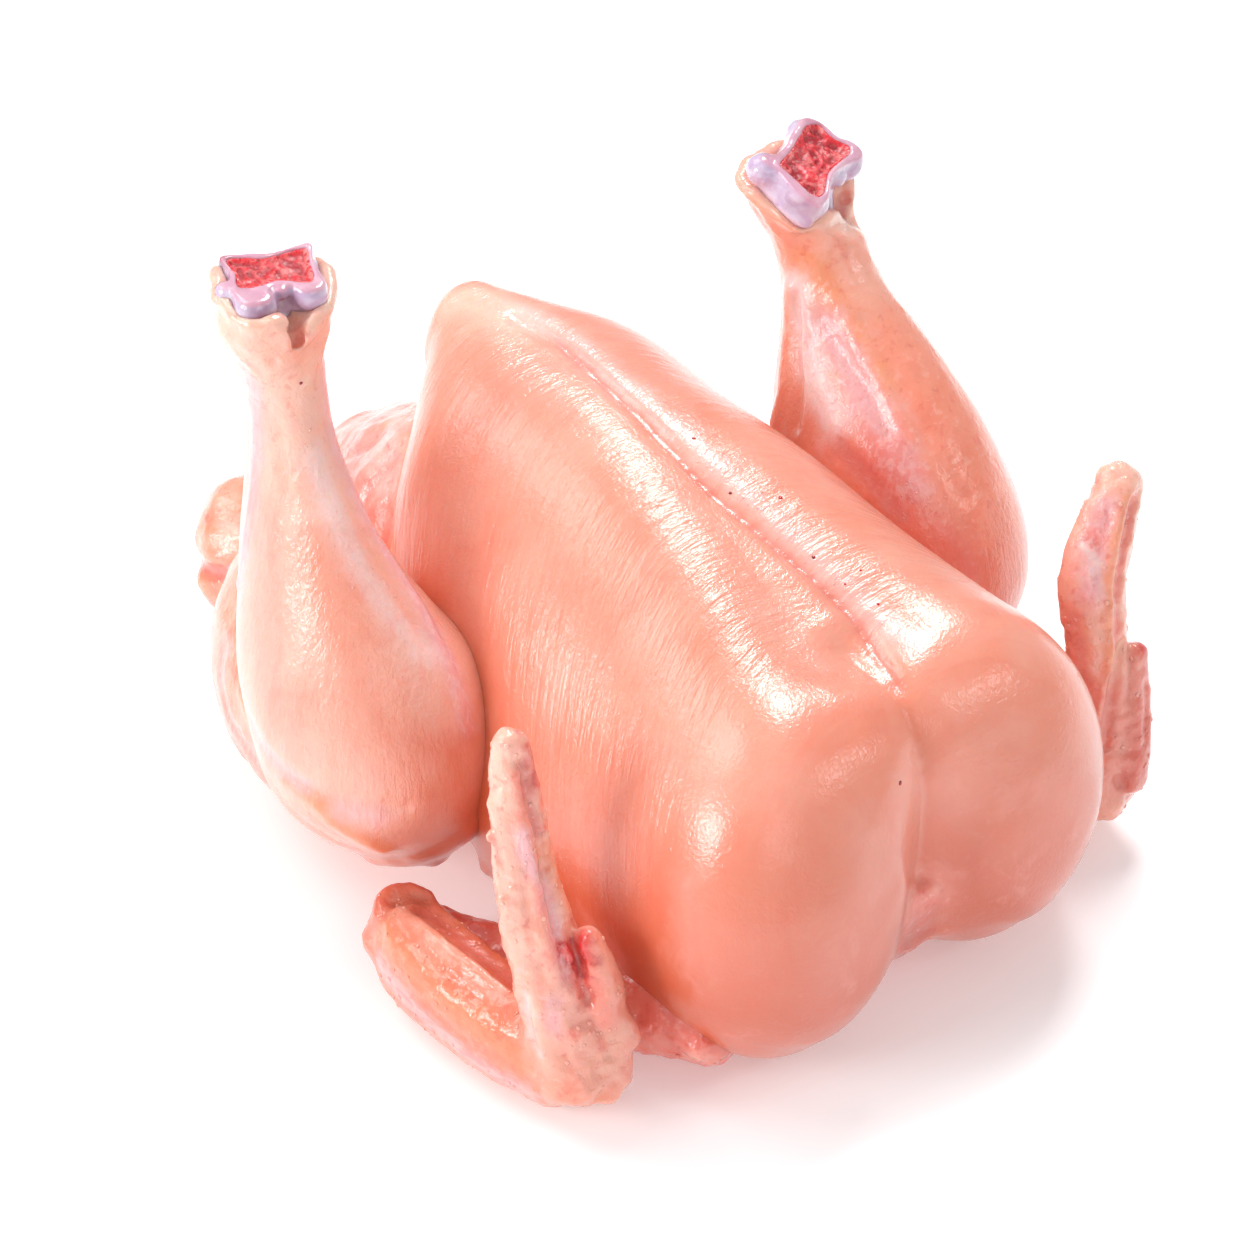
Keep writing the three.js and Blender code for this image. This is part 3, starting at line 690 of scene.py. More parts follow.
# Painted strokes: the zones that take them (a word in their names), and for each stroke its path, its
# half-breadth, its colour and its strength.
PAINT = [
    # Breast: the cream cartilage at the keel's tip, the pale band along the keel; painted shade in amber on
    # the flanks, under the belly rim and under the front of the lobes.
    ("keel breast", [
        ([(-4.3, 68, 97), (-1, 63, 98.3), (0, 54, 98)], 6.0, "cream", 0.9),
        (
            [
                (3, 57, 98), (5, 43, 96.4), (4.6, 24, 94.3), (5, 5, 90.6), (6.4, -13, 84.6), (9, -32, 77.6),
                (10, -48, 73.6),
            ],
            3.2, "silver", 0.42,
        ),
        ([(-4, 46, 95), (-6, 20, 91), (-7, -10, 82), (-6, -40, 72)], 7.0, "pale", 0.35),
        (
            [(2.2, 44, 97), (1.2, 20, 94), (0.5, -2, 88), (4, -22, 81), (5.8, -39, 74.6), (2.4, -54, 71)],
            1.1, "rose", 0.6,
        ),
    ]),
    ("breast", [
        ([(-44, 40, 56), (-50, 20, 44), (-54, 0, 34), (-55, -24, 26), (-52, -44, 22)], 15.0, "amber", 0.5),
        ([(-57, -18, 30), (-56, -36, 24), (-50, -52, 18)], 10.0, "amber", 0.45),
        ([(44, 40, 56), (50, 20, 44), (54, 0, 34), (55, -24, 26), (52, -44, 22)], 13.0, "amber", 0.3),
        ([(-10, 68, 84), (-18, 62, 72), (-24, 56, 62)], 9.0, "amber", 0.3),
        ([(-20, -74, 16), (-34, -70, 12), (-12, -72, 14)], 9.0, "amber", 0.3),
        ([(14, -72, 40), (22, -74, 26), (34, -70, 16)], 12.0, "amber", 0.35),
        ([(-6, 71, 88), (-12, 69, 76), (-17, 71, 63), (-26, 63, 54)], 1.6, "lilac", 0.6),
    ]),
    # Left drumstick: the pale shank with its films, painted shade in amber down the outer calf and at its foot
    # by the breast, yellow fat low down.
    ("left_drumstick", [
        ([(-61, 47, 132), (-60, 47, 112), (-60.5, 45, 102)], 13.0, "cream", 0.75),
        ([(-61, 36, 100), (-62, 28, 90)], 7.0, "pale", 0.5),
        ([(-67.6, 47, 122), (-68.3, 47.2, 104), (-71.2, 46.9, 86), (-74, 48, 66)], 2.2, "lilac", 0.85),
        (
            [
                (-54.6, 44, 120), (-55, 39.4, 106), (-54, 35, 94), (-53.4, 30, 86), (-51.4, 22, 76),
                (-51.8, 13, 67), (-53.2, 5, 54),
            ],
            2.3, "lilac", 0.85,
        ),
        ([(-53.6, 46, 116), (-53.4, 42, 105), (-52.6, 37, 96)], 1.5, "mauve", 0.5),
        (
            [(-61.4, 37, 103), (-62, 31, 93), (-61.4, 22, 82), (-58.4, 15.7, 73.5), (-55.9, 12, 68)],
            2.4, "silver", 0.6,
        ),
        ([(-67, 28, 86), (-68, 16, 72), (-66.6, 8, 60), (-63.4, 3.4, 48.7)], 6.0, "amber", 0.32),
        ([(-71, 42, 92), (-75, 37, 77), (-79, 30, 63), (-80, 22, 54)], 5.0, "rose", 0.3),
        ([(-55, 4, 50), (-54, 6, 40), (-52, 7, 32)], 7.0, "amber", 0.45),
    ]),
    ("left_drumstick left_thigh", [
        (FAT_ROUND_KNEE, 2.0, "fat", 0.95),
        ([(-78, 11, 43), (-73, 7.4, 41)], 2.4, "lilac", 0.5),
        ([(-80, 37, 50), (-82, 28, 47.7), (-80.9, 18.7, 46.4)], 2.0, "lilac", 0.6),
    ]),
    ("left_thigh", [
        (THIGH_FILM, 3.2, "lilac", 0.45),
        ([(-66, 66, 26), (-68, 50, 20), (-64, 30, 14)], 6.0, "rose", 0.55),
    ]),
    # Painted shade in the crease under the knee, low by the floor.
    ("left_thigh left_drumstick", [([(-60, 8.6, 19), (-53, 7, 16), (-47, 7, 15)], 4.0, "dark", 0.6)]),
    # Right drumstick: cream head end, fan of white film, mauve in a groove (partly painted shade) and rosy
    # flesh between film and breast, painted shade in amber down the outer side.
    ("right_drumstick", [
        ([(59, 36, 117), (60, 33, 105), (60, 30, 98)], 12.0, "cream", 0.75),
        ([(52.4, 28, 104), (53.6, 23, 101), (53.2, 18, 96), (52.6, 12, 91), (52.4, 5, 87)], 3.0, "fat", 0.9),
        ([(51, 29, 98), (49, 24, 90), (46, 17, 84), (44, 9, 78)], 3.6, "silver", 0.95),
        ([(51, 20, 94), (50.4, 12, 89), (49.6, 5, 84), (48.6, -2, 78), (47, -8, 71)], 3.6, "lilac", 0.85),
        ([(45.6, 0, 75), (45.6, -8, 69), (48, -15, 62), (52, -20, 56)], 5.0, "rose", 0.75),
        ([(43, 6, 75), (43.4, -2, 71.6), (45.4, -9, 66)], 2.6, "mauve", 0.6),
        ([(50.4, 31, 95), (48, 29.4, 86), (45.2, 27.6, 76)], 2.6, "peach", 0.6),
        ([(62, 10, 93), (61.6, -2, 84), (62, -12, 73)], 8.0, "amber", 0.22),
        ([(72, -6, 70), (73.6, -12, 62), (73.4, -18, 50)], 2.2, "lilac", 0.5),
    ]),
    # Belly wall and tail.
    ("belly", [
        ([(-8, 96, 56), (-20, 84, 54), (-30, 74, 49)], 6.0, "lilac", 0.4),
        ([(-13, 80, 62), (-20, 74, 59)], 4.0, "silver", 0.5),
    ]),
    ("belly ribs", [([(-26, 68, 53), (-34, 58, 47)], 5.0, "rose", 0.6)]),
    ("belly", [([(-20, 77, 57), (-16, 74, 63)], 1.6, "rose", 0.5)]),
    ("tail", [
        ([(-30, 118.5, 24), (-29, 118.3, 26)], 3.0, "cream", 0.9),
        ([(-21, 129, 29), (-27, 124, 28)], 3.6, "cream", 0.5),
        # Mauve along the crease under the nub: partly its own colour, partly painted shade.
        ([(-33, 117, 18), (-33.8, 121, 16.3), (-33, 127, 16), (-27, 134, 15.5)], 1.7, "mauve", 1.0),
        (TAIL_NUB, 3.0, "peach", 0.8),
        ([(-32, 116, 6), (-28, 126, 4)], 4.0, "lilac", 0.5),
    ]),
    # Left wing: yellow skin on the forearm, red at the thumb and the tip, mauve grooves that are partly
    # painted shade, painted shade in dark at the curled elbow.
    ("left_forearm", [
        (
            [(-77.4, 0, 19.6), (-78.4, -11, 19.2), (-78.4, -21, 18), (-77, -32, 17), (-76, -40, 14)],
            2.6, "fat", 0.95,
        ),
        (
            [(-79.6, 0, 13), (-80.4, -10, 12), (-79.8, -20, 10), (-78, -32, 9), (-76, -42, 8)],
            2.2, "lilac", 0.8,
        ),
        ([(-79, 0, 6), (-80, -14, 5), (-78, -32, 4)], 3.0, "peach", 0.5),
        ([(-69.7, -3, 22), (-69.2, -12.6, 22), (-68.7, -20, 21), (-68.4, -28, 21)], 2.2, "mauve", 0.55),
        ([(-74.4, -2, 22.6), (-75, -12, 23), (-74.6, -22, 22.4), (-73, -31, 21)], 1.8, "pink", 0.7),
        ([(-73.3, 1, 22.8), (-73.3, -10, 24), (-72.7, -21, 23.4), (-71.8, -29, 22.5)], 0.8, "cream", 0.9),
        ([(-74, 7, 20), (-70, 9, 21), (-66, 6, 21)], 3.2, "rose", 0.8),
        # Painted shade in the groove at the curled elbow.
        ([(-72, 3.4, 22), (-69.5, 2.4, 22), (-67.2, 1, 21.6)], 1.5, "dark", 0.5),
    ]),
    ("left_upper_wing", [([(-66, 2, 18), (-60, -12, 16), (-54, -26, 16)], 3.0, "mauve", 0.4)]),
    ("left_hand", [
        ([(-67, -26, 79), (-69.6, -28, 75), (-71.6, -29.6, 69)], 2.6, "cream", 0.85),
        ([(-72.6, -31, 62), (-73.4, -34, 54), (-74, -37.6, 45), (-74.2, -40, 37)], 1.8, "pale", 0.7),
        ([(-68.6, -30, 73), (-69.4, -33, 63), (-69.6, -37, 52), (-70.5, -42, 38)], 1.2, "rose", 0.65),
        (
            [(-66.6, -30, 74), (-67.3, -31.5, 69), (-67.1, -32.5, 65.5), (-66.6, -33.7, 60.4)],
            1.1, "mauve", 0.7,
        ),
        (
            [(-70.1, -33.4, 62), (-70.1, -35, 57), (-68.4, -38, 50), (-68.4, -41, 42), (-68.8, -44, 34)],
            1.5, "lilac", 0.9,
        ),
        ([(-65.6, -34, 58), (-65.4, -37, 50), (-64.6, -39, 44)], 1.2, "peach", 0.7),
        ([(-64.8, -27.8, 76.6), (-64.8, -30.4, 69)], 1.3, "blood", 0.7),
        ([(-65, -26.2, 78.8), (-66.4, -28, 77.4)], 1.2, "blood", 0.6),
        ([(-64.6, -31, 67), (-65.2, -33, 61)], 0.8, "rose", 0.9),
        ([(-73.8, -29.6, 60), (-74.4, -31, 56.4)], 1.2, "rose", 0.7),
    ]),
    ("left_hand left_thumb", [
        ([(-68, -42.4, 39.6), (-66.6, -43.2, 38), (-66.6, -45, 34.4), (-66.2, -46, 31)], 2.2, "blood", 1.0),
    ]),
    ("left_thumb left_hand", [
        ([(-64.6, -43.6, 42), (-65, -45, 38)], 1.9, "blood", 0.95),
        ([(-66, -46.6, 33), (-65, -48.6, 28), (-66, -49.6, 25)], 3.0, "rose", 0.6),
    ]),
    ("left_hand", [([(-70.5, -45, 30), (-70, -49, 22), (-69.4, -51.6, 15)], 4.0, "pale", 0.6)]),
    ("left_hand left_forearm", [([(-75.4, -40, 30), (-75.8, -41, 24), (-76, -43, 19)], 1.2, "silver", 0.8)]),
    ("left_hand", [
        ([(-72.4, -44, 30), (-73, -45.6, 25)], 1.6, "lilac", 0.7),
        ([(-66, -50, 21), (-65.6, -50.6, 19.8)], 0.9, "rose", 0.9),
        ([(-70.6, -47.6, 24.6), (-70.4, -48, 23.6)], 0.8, "rose", 0.9),
        ([(-62, -52.2, 13), (-62, -52.8, 10)], 1.8, "rose", 0.6),
        ([(-73, -49.4, 10), (-68, -52.6, 9)], 3.0, "peach", 0.6),
    ]),
    # Right wing: cream tip, lilac hollow, yellow sinew, mauve channel that is partly painted shade, reddish
    # thumb, painted shade in dark between hand and thumb.
    ("right_hand", [
        ([(75, -35.6, 77), (80, -37.4, 76)], 3.4, "cream", 1.0),
        ([(71.4, -39.4, 72), (68, -40.8, 68), (66, -42, 63.6), (64.6, -43.6, 58)], 2.8, "lilac", 0.85),
        ([(70.6, -39.8, 71.6), (70, -40.2, 70.4)], 1.1, "mauve", 0.7),
        ([(67.6, -40.6, 68), (67, -41, 66.6)], 1.6, "rose", 0.7),
        ([(65.3, -40, 66), (66.4, -42.4, 63), (65, -42.4, 61.6)], 1.0, "silver", 0.8),
        ([(69.6, -36.4, 71), (66.6, -36, 66), (63.6, -37, 61), (62.2, -38.6, 54)], 1.8, "pale", 0.6),
        (
            [
                (75.2, -41, 74), (71.8, -42.9, 69), (68.8, -44.5, 61.7), (67, -46.3, 54.6),
                (65.9, -48.8, 46.7), (64, -51, 38),
            ],
            1.2, "fat", 0.85,
        ),
        (
            [(77, -41.4, 73), (73.8, -43.4, 67.6), (71.1, -44.8, 61.5), (68.9, -46.9, 54), (67.3, -49, 46.3)],
            1.1, "rose", 0.8,
        ),
        ([(62, -42, 52), (61.6, -44, 45), (61.6, -46.6, 38), (62, -48.6, 30)], 2.4, "mauve", 0.5),
        ([(64.4, -50, 36), (63, -51.4, 28), (62.6, -53, 20)], 4.0, "rose", 0.6),
    ]),
    # Painted shade in the cleft between hand and thumb.
    ("right_hand right_thumb", [([(64.8, -50.8, 41), (64, -52, 36), (63.6, -53.4, 30)], 1.0, "dark", 0.35)]),
    ("right_thumb", [
        ([(74.4, -49.4, 43), (74.4, -50, 41)], 1.1, "blood", 0.9),
        ([(72.6, -52, 36), (70.6, -54, 28), (67.6, -56.4, 20)], 3.6, "rose", 0.55),
        ([(72, -50.6, 41), (69.7, -52, 35)], 1.2, "pale", 0.6),
    ]),
    ("right_forearm", [
        ([(78.4, -2, 19), (79, -12, 19), (79, -24, 18), (76, -36, 17)], 2.6, "fat", 0.9),
        ([(80.4, -2, 12), (81, -14, 11), (79, -32, 9)], 2.2, "lilac", 0.7),
        ([(71.2, -5, 22), (70.6, -14, 22), (70, -28, 21)], 2.0, "mauve", 0.5),
    ]),
    # Neck end and shoulders: painted shade in dark at the neck opening.
    ("neck", [([(0, -63, 14), (0, -61, 5)], 9.0, "dark", 0.7)]),
    ("upper_wing", [
        ([(-57, -52, 18), (-50, -58, 12), (-42, -63, 8)], 2.6, "pale", 0.6),
        ([(57, -52, 18), (50, -58, 12), (42, -63, 8)], 2.6, "pale", 0.6),
    ]),
]
# Where beads of moisture stand: path, half-breadth, share of the surface.
BEADS = [
    ([(-57, -10, 50), (-58, -22, 42), (-57, -34, 34)], 5.0, 0.8),
    ([(-54, -2, 58), (-52, -16, 56)], 4.0, 0.5),
    ([(49.6, 5, 84), (48.6, -3, 78), (47, -9, 70), (51, -16, 62)], 4.5, 1.0),
    ([(6, 20, 94), (6, -5, 88), (9, -30, 78)], 3.5, 0.8),
    ([(-61, 40, 108), (-62, 32, 94), (-60, 20, 80)], 4.0, 0.7),
]
# Each lamp: its name, place, width and height in metres, and power in watts.
LAMPS = (
    ("overhead", (0.50, 0.28, 1.0), 0.26, 0.42, 6.8),
    ("back", (-0.42, 0.55, 1.0), 0.60, 0.60, 4.2),
    ("left", (-0.98, 0.16, 0.50), 0.46, 0.34, 5.4),
    ("front", (-0.30, -0.98, 0.55), 0.50, 0.40, 1.2),
    ("right", (0.54, -0.76, 0.58), 0.14, 0.14, 0.6),
)
# Dark red specks on the flesh: place and radius.
SPECKS = [
    ((5.9, 8.4, 91.7), 0.42),
    ((3.7, -4.9, 87.1), 0.34),
    ((11.3, -10.7, 86.4), 0.45),
    ((7.9, -23.8, 81.0), 0.4),
    ((11.8, -37.8, 76.4), 0.32),
    ((-7.6, -64.7, 60.6), 0.5),
    ((-61.9, 38.8, 117.4), 0.36),
    ((9.4, -31.0, 78.0), 0.26),
    ((14.0, -30.0, 77.4), 0.26),
]


# ---- Sweeping a form ----


def spline(values, shares):
    """Places and tangents at shares of the length of a smooth curve through values."""
    v = np.vstack([2 * values[0] - values[1], values, 2 * values[-1] - values[-2]])
    spans = len(values) - 1
    s = np.clip(shares, 0, 1) * spans
    i = np.minimum(s.astype(int), spans - 1)
    w = (s - i)[:, None]
    before, start, end, after = (v[i + k] for k in range(4))
    leave, arrive = (end - before) / 2, (after - start) / 2
    square = 3 * (end - start) - 2 * leave - arrive
    cube = 2 * (start - end) + leave + arrive
    return start + leave * w + square * w**2 + cube * w**3, leave + 2 * square * w + 3 * cube * w**2


def unit(v):
    return v / np.linalg.norm(v, axis=-1, keepdims=True)


def ring_axes(shape, shares):
    """Centre, sizes, and the along, side and rise directions of the rings at shares of a spine."""
    centre, tangent = spline(shape["rows"][:, :3], shares)
    sizes, _ = spline(shape["rows"][:, 3:], shares)
    along = np.tile([0.0, -1.0, 0.0], (len(shares), 1)) if shape["upright"] else unit(tangent)
    ref = np.array([0.0, 1.0, 0.0] if shape["ref"] == "y" else [0.0, 0.0, 1.0])
    side = unit(np.cross(ref, along))
    turn = np.radians(sizes[:, 2:3])
    side = side * np.cos(turn) + np.cross(along, side) * np.sin(turn)
    return centre, sizes, along, side, np.cross(along, side)


def swept(shape, rings=56, sides=72, caps=9):
    """Points and faces of a closed skin of rings along a form's spine."""
    swing = np.linspace(0, math.pi / 2, caps + 1)[1:-1]
    start, end = shape["ends"]
    shares = np.concatenate([np.zeros(len(swing)), np.linspace(0, 1, rings), np.ones(len(swing))])
    ahead = np.concatenate([-start * np.sin(swing[::-1]), np.zeros(rings), end * np.sin(swing)])
    scale = np.concatenate([np.cos(swing[::-1]), np.ones(rings), np.cos(swing)])
    centre, sizes, along, side, rise = ring_axes(shape, shares)
    centre = centre + along * ahead[:, None]
    angle = np.linspace(0, 2 * math.pi, sides, endpoint=False)
    c, s = np.cos(angle), np.sin(angle)
    power = (2 / sizes[:, 3])[:, None]
    inner = (c > 0) & (s > 0)
    across = np.where(inner, np.abs(c) ** power, c)
    up = np.where(inner, np.abs(s) ** power, s)
    wide = (sizes[:, 0] * scale)[:, None] * across
    deep = (sizes[:, 1] * scale)[:, None] * up
    points = centre[:, None] + side[:, None] * wide[..., None] + rise[:, None] * deep[..., None]
    tips = np.array([[-start * (1 - math.sin(swing[-1]))], [end * (1 - math.sin(swing[-1]))]])
    poles = centre[[0, -1]] + along[[0, -1]] * tips
    n = len(shares)
    i, j = ring_steps(sides)
    last = (n - 1) * sides
    first_fan = np.stack([np.full(sides, n * sides), j, i], -1)
    last_fan = np.stack([np.full(sides, n * sides + 1), last + i, last + j], -1)
    fans = np.concatenate([first_fan, last_fan])
    return np.vstack([points.reshape(-1, 3), poles]), ring_quads(n, sides), fans


def ring_steps(sides):
    """Each point of a ring, and the next one."""
    return np.arange(sides), (np.arange(sides) + 1) % sides


def ring_quads(rings, sides):
    """Quads between neighbouring rings of points."""
    i, j = ring_steps(sides)
    r = (np.arange(rings - 1) * sides)[:, None]
    return np.stack([r + i, r + j, r + sides + j, r + sides + i], -1).reshape(-1, 4)


def mirror_skin(points, quads, fans):
    return points * [-1, 1, 1], quads[:, ::-1], fans[:, ::-1]


# ---- Fields of distance ----


class Field:
    """Signed distances in millimetres over a box of cells: negative inside the flesh or bone."""

    def __init__(self, low, high, cell):
        self.cell = cell
        self.corner = np.floor(np.asarray(low, float) / cell).astype(int)
        top = np.ceil(np.asarray(high, float) / cell).astype(int)
        self.values = np.full(top - self.corner + 1, REACH, np.float32)

    def part(self, where, values):
        """A field that holds only some of the cells."""
        other = Field.__new__(Field)
        other.cell = self.cell
        other.corner = self.corner + np.array([s.start for s in where])
        other.values = values
        return other

    def like(self):
        """An empty field over the same cells."""
        return self.part(self.everywhere(), np.full(self.values.shape, REACH, np.float32))

    def everywhere(self):
        return tuple(slice(0, n) for n in self.values.shape)

    def cells(self, low, high):
        """The slices of cells in a box of millimetres."""
        first = np.floor(np.asarray(low) / self.cell).astype(int) - self.corner
        last = np.ceil(np.asarray(high) / self.cell).astype(int) - self.corner + 1
        ends = np.clip([first, last], 0, self.values.shape)
        return tuple(slice(a, b) for a, b in ends.T)

    def places(self, where):
        axes = [(np.arange(s.start, s.stop) + c) * self.cell for s, c in zip(where, self.corner)]
        return np.stack(np.meshgrid(*axes, indexing="ij"), -1)

    def of_skin(self, points, quads, fans):
        """Distances to a closed skin: the slices they fill, and their values."""
        where = self.cells(points.min(0) - REACH, points.max(0) + REACH)
        grid = openvdb.FloatGrid.createLevelSetFromPolygons(
            points.astype(np.float32),
            triangles=fans.astype(np.uint32),
            quads=quads.astype(np.uint32),
            transform=openvdb.createLinearTransform(voxelSize=self.cell),
            halfWidth=REACH / self.cell,
        )
        values = np.full([s.stop - s.start for s in where], REACH, np.float32)
        if values.size:
            grid.copyToArray(values, ijk=tuple(int(s.start + c) for s, c in zip(where, self.corner)))
        return where, values

    def join(self, where, values, soft=0.0):
        """Adds a form, run into what is there over a softness in millimetres."""
        self.values[where] = soft_min(self.values[where], values.astype(np.float32), soft)

    def cut(self, where, values, soft=0.0):
        """Takes a form away."""
        self.values[where] = -soft_min(-self.values[where], values.astype(np.float32), soft)

    def at(self, points):
        """Distances at any points, between the cells."""
        p = points / self.cell - self.corner
        p = np.clip(p, 0, np.array(self.values.shape) - 1.001)
        i = p.astype(int)
        w = p - i
        total = np.zeros(len(points))
        for corner, share in corner_shares(w):
            total += share * self.values[tuple((i + corner).T)]
        return total

    def slope(self, points, step=0.6):
        """The outward direction at points."""
        eye = np.eye(3) * step * self.cell
        return unit(np.stack([self.at(points + e) - self.at(points - e) for e in eye], -1) + 1e-9)

    def skin(self):
        """Points and quads of the surface, evened out and drawn back onto it."""
        grid = openvdb.FloatGrid(REACH)
        grid.transform = openvdb.createLinearTransform(voxelSize=self.cell)
        grid.copyFromArray(self.values, ijk=tuple(int(c) for c in self.corner))
        points, quads = grid.convertToQuads(0.0)
        points = points.astype(float)
        quads = drop_scraps(points, quads.astype(int))
        used, back = np.unique(quads, return_inverse=True)
        points, quads = points[used], back.reshape(quads.shape)
        edges = edges_of(quads)
        for _ in range(3):
            points = evened(points, edges)
            points = points - self.slope(points) * self.at(points)[:, None]
        return points, quads


def corner_shares(w):
    """The eight corners of a cell, each with its share at places w in the cell."""
    for x, y, z in np.ndindex(2, 2, 2):
        yield (x, y, z), abs(1 - x - w[..., 0]) * abs(1 - y - w[..., 1]) * abs(1 - z - w[..., 2])


def soft_min(a, b, soft):
    """The lesser of two distances, with the crease between them filled over a softness."""
    if soft <= 0:
        return np.minimum(a, b)
    h = np.clip(soft - np.abs(a - b), 0, None) / soft
    return np.minimum(a, b) - h * h * h * soft / 6


def edges_of(quads):
    """Every edge once, as pairs of points."""
    pairs = np.sort(np.vstack([quads[:, [k, (k + 1) % 4]] for k in range(4)]), axis=1)
    size = int(pairs.max()) + 1
    keys = np.unique(pairs[:, 0] * size + pairs[:, 1])
    return np.stack([keys // size, keys % size], 1)


def evened(points, edges, share=0.5):
    """Each point moved part of the way to the mean of its neighbours."""
    total = np.zeros_like(points)
    count = np.zeros(len(points))
    for a, b in ((edges[:, 0], edges[:, 1]), (edges[:, 1], edges[:, 0])):
        for k in range(3):
            total[:, k] += np.bincount(a, points[b, k], len(points))
        count += np.bincount(a, minlength=len(points))
    return points + share * (total / np.maximum(count, 1)[:, None] - points)


def drop_scraps(points, quads):
    """The quads of the largest connected skin."""
    label = np.arange(len(points))
    e = edges_of(quads)
    while True:
        low = np.minimum(label[e[:, 0]], label[e[:, 1]])
        fresh = label.copy()
        np.minimum.at(fresh, e[:, 0], low)
        np.minimum.at(fresh, e[:, 1], low)
        fresh = fresh[fresh]
        if (fresh == label).all():
            break
        label = fresh
    main = np.bincount(label[quads[:, 0]]).argmax()
    return quads[label[quads[:, 0]] == main]


# ---- Noise and strokes ----


SIDE = 32  # places along each side of a block of noise, which then repeats


@functools.cache
def lattice(seed):
    return np.random.default_rng(seed).uniform(-1, 1, (SIDE, SIDE, SIDE))


def rumple(points, size, seed):
    """Smooth uneven values between -1 and 1 that change over a size in millimetres."""
    table = lattice(seed)
    p = np.asarray(points) / size
    i = np.floor(p).astype(int)
    w = p - i
    w = w * w * (3 - 2 * w)
    total = np.zeros(p.shape[:-1])
    for (x, y, z), share in corner_shares(w):
        total += share * table[(i[..., 0] + x) % SIDE, (i[..., 1] + y) % SIDE, (i[..., 2] + z) % SIDE]
    return total


def smooth_path(path, steps=6):
    """A path through the same places with no corners."""
    v = np.asarray(path, float)
    if len(v) < 3:
        return v
    return spline(v, np.linspace(0, 1, (len(v) - 1) * steps + 1))[0]


def closed_path(ring, steps=4):
    """A closed path through a ring of places, with no corners."""
    v = np.asarray(ring, float)
    n = len(v)
    v = np.vstack([v[-1:], v, v[:2]])
    return spline(v, np.linspace(1, n + 1, n * steps + 1) / (n + 2))[0]


def reach_to(points, path):
    """Distance of points from a path of straight pieces."""
    best = np.full(points.shape[:-1], 1e9)
    for a, b in zip(path[:-1], path[1:]):
        d = b - a
        share = np.clip(((points - a) @ d) / max(d @ d, 1e-9), 0, 1)
        best = np.minimum(best, np.linalg.norm(points - a - share[..., None] * d, axis=-1))
    return best


def outline_distance(flat, path):
    """Signed distance of flat points from a closed outline: negative inside."""
    inside = np.zeros(flat.shape[:-1], bool)
    for a, b in zip(path[:-1], path[1:]):
        d = b - a
        if d[1]:
            crosses = (a[1] > flat[..., 1]) != (b[1] > flat[..., 1])
            inside ^= crosses & (flat[..., 0] < a[0] + (flat[..., 1] - a[1]) / d[1] * d[0])
    best = reach_to(flat, path)
    return np.where(inside, -best, best)


def bell(distance, breadth):
    """One on a path, and falling off softly beyond its half-breadth."""
    return np.exp(-((distance / breadth) ** 2))


def folds_of(points, size, seed):
    """Sharp-crested noise: one along winding lines, and falling to minus one between them."""
    return 1 - 2 * np.abs(rumple(points, size, seed))


def near_path(points, line, reach):
    """Which points lie in the box round a path, widened by a reach."""
    return np.flatnonzero(((points > line.min(0) - reach) & (points < line.max(0) + reach)).all(1))


def eased(share):
    """A share held between nothing and one, with soft ends."""
    s = np.clip(share, 0, 1)
    return s * s * (3 - 2 * s)


def pose_of(shank):
    """The pose of a shank's cut face as a 4x4 in millimetres."""
    heading = Matrix.Rotation(math.radians(shank["heading"]), 4, "Z")
    lean = Matrix.Rotation(math.radians(shank["lean"]), 4, "X")
    return np.array(Matrix.Translation(shank["face"]) @ (heading @ lean))


def posed(points, pose):
    return np.asarray(points, float) @ pose[:3, :3].T + pose[:3, 3]


def unposed(points, pose):
    return (np.asarray(points, float) - pose[:3, 3]) @ pose[:3, :3]


# ---- Bones ----


def head_distances(local, outline):
    """Signed distances to a bone's head that narrows below its cut face."""
    heights, sizes = zip(*HEAD_TAPER)
    size = np.interp(local[..., 2], heights, sizes)
    d = outline_distance(local[..., :2] / size[..., None], closed_path(outline)) * size
    return np.maximum(d, heights[0] + 1 - local[..., 2])


def shank_fields(field, shank):
    """The hollow of a shank's head and shaft, and the whole bone with its knobs of cartilage."""
    pose = pose_of(shank)
    middle = posed([(0, 0, -6)], pose)[0]
    shaft_where, shaft = field.of_skin(*swept(shank["shaft"], rings=30, sides=40))
    hollow, bone = field.like(), field.like()
    where = bone.cells(middle - 20, middle + 20)
    local = unposed(bone.places(where), pose)
    bone.join(where, head_distances(local, shank["outline"]))
    bone.join(shaft_where, shaft, 2.0)
    hollow.join(where, head_distances(local, shank["core"]))
    hollow.join(shaft_where, shaft + SHELL, 1.0)
    for place, radius in shank["knobs"]:
        centre = posed([place], pose)[0]
        where = bone.cells(centre - radius - 8, centre + radius + 8)
        d = np.linalg.norm(bone.places(where) - centre, axis=-1) - radius
        bone.join(where, d, 1.6)
    return hollow, bone


def shank_box(shank, cell):
    """An empty field round one whole shank."""
    rows = shank["shaft"]["rows"]
    low = np.minimum(rows[:, :3].min(0) - 7, np.array(shank["face"]) - 16)
    high = np.maximum(rows[:, :3].max(0) + 7, np.array(shank["face"]) + [16, 16, 9])
    return Field(low, high, cell)


# ---- Meshes ----


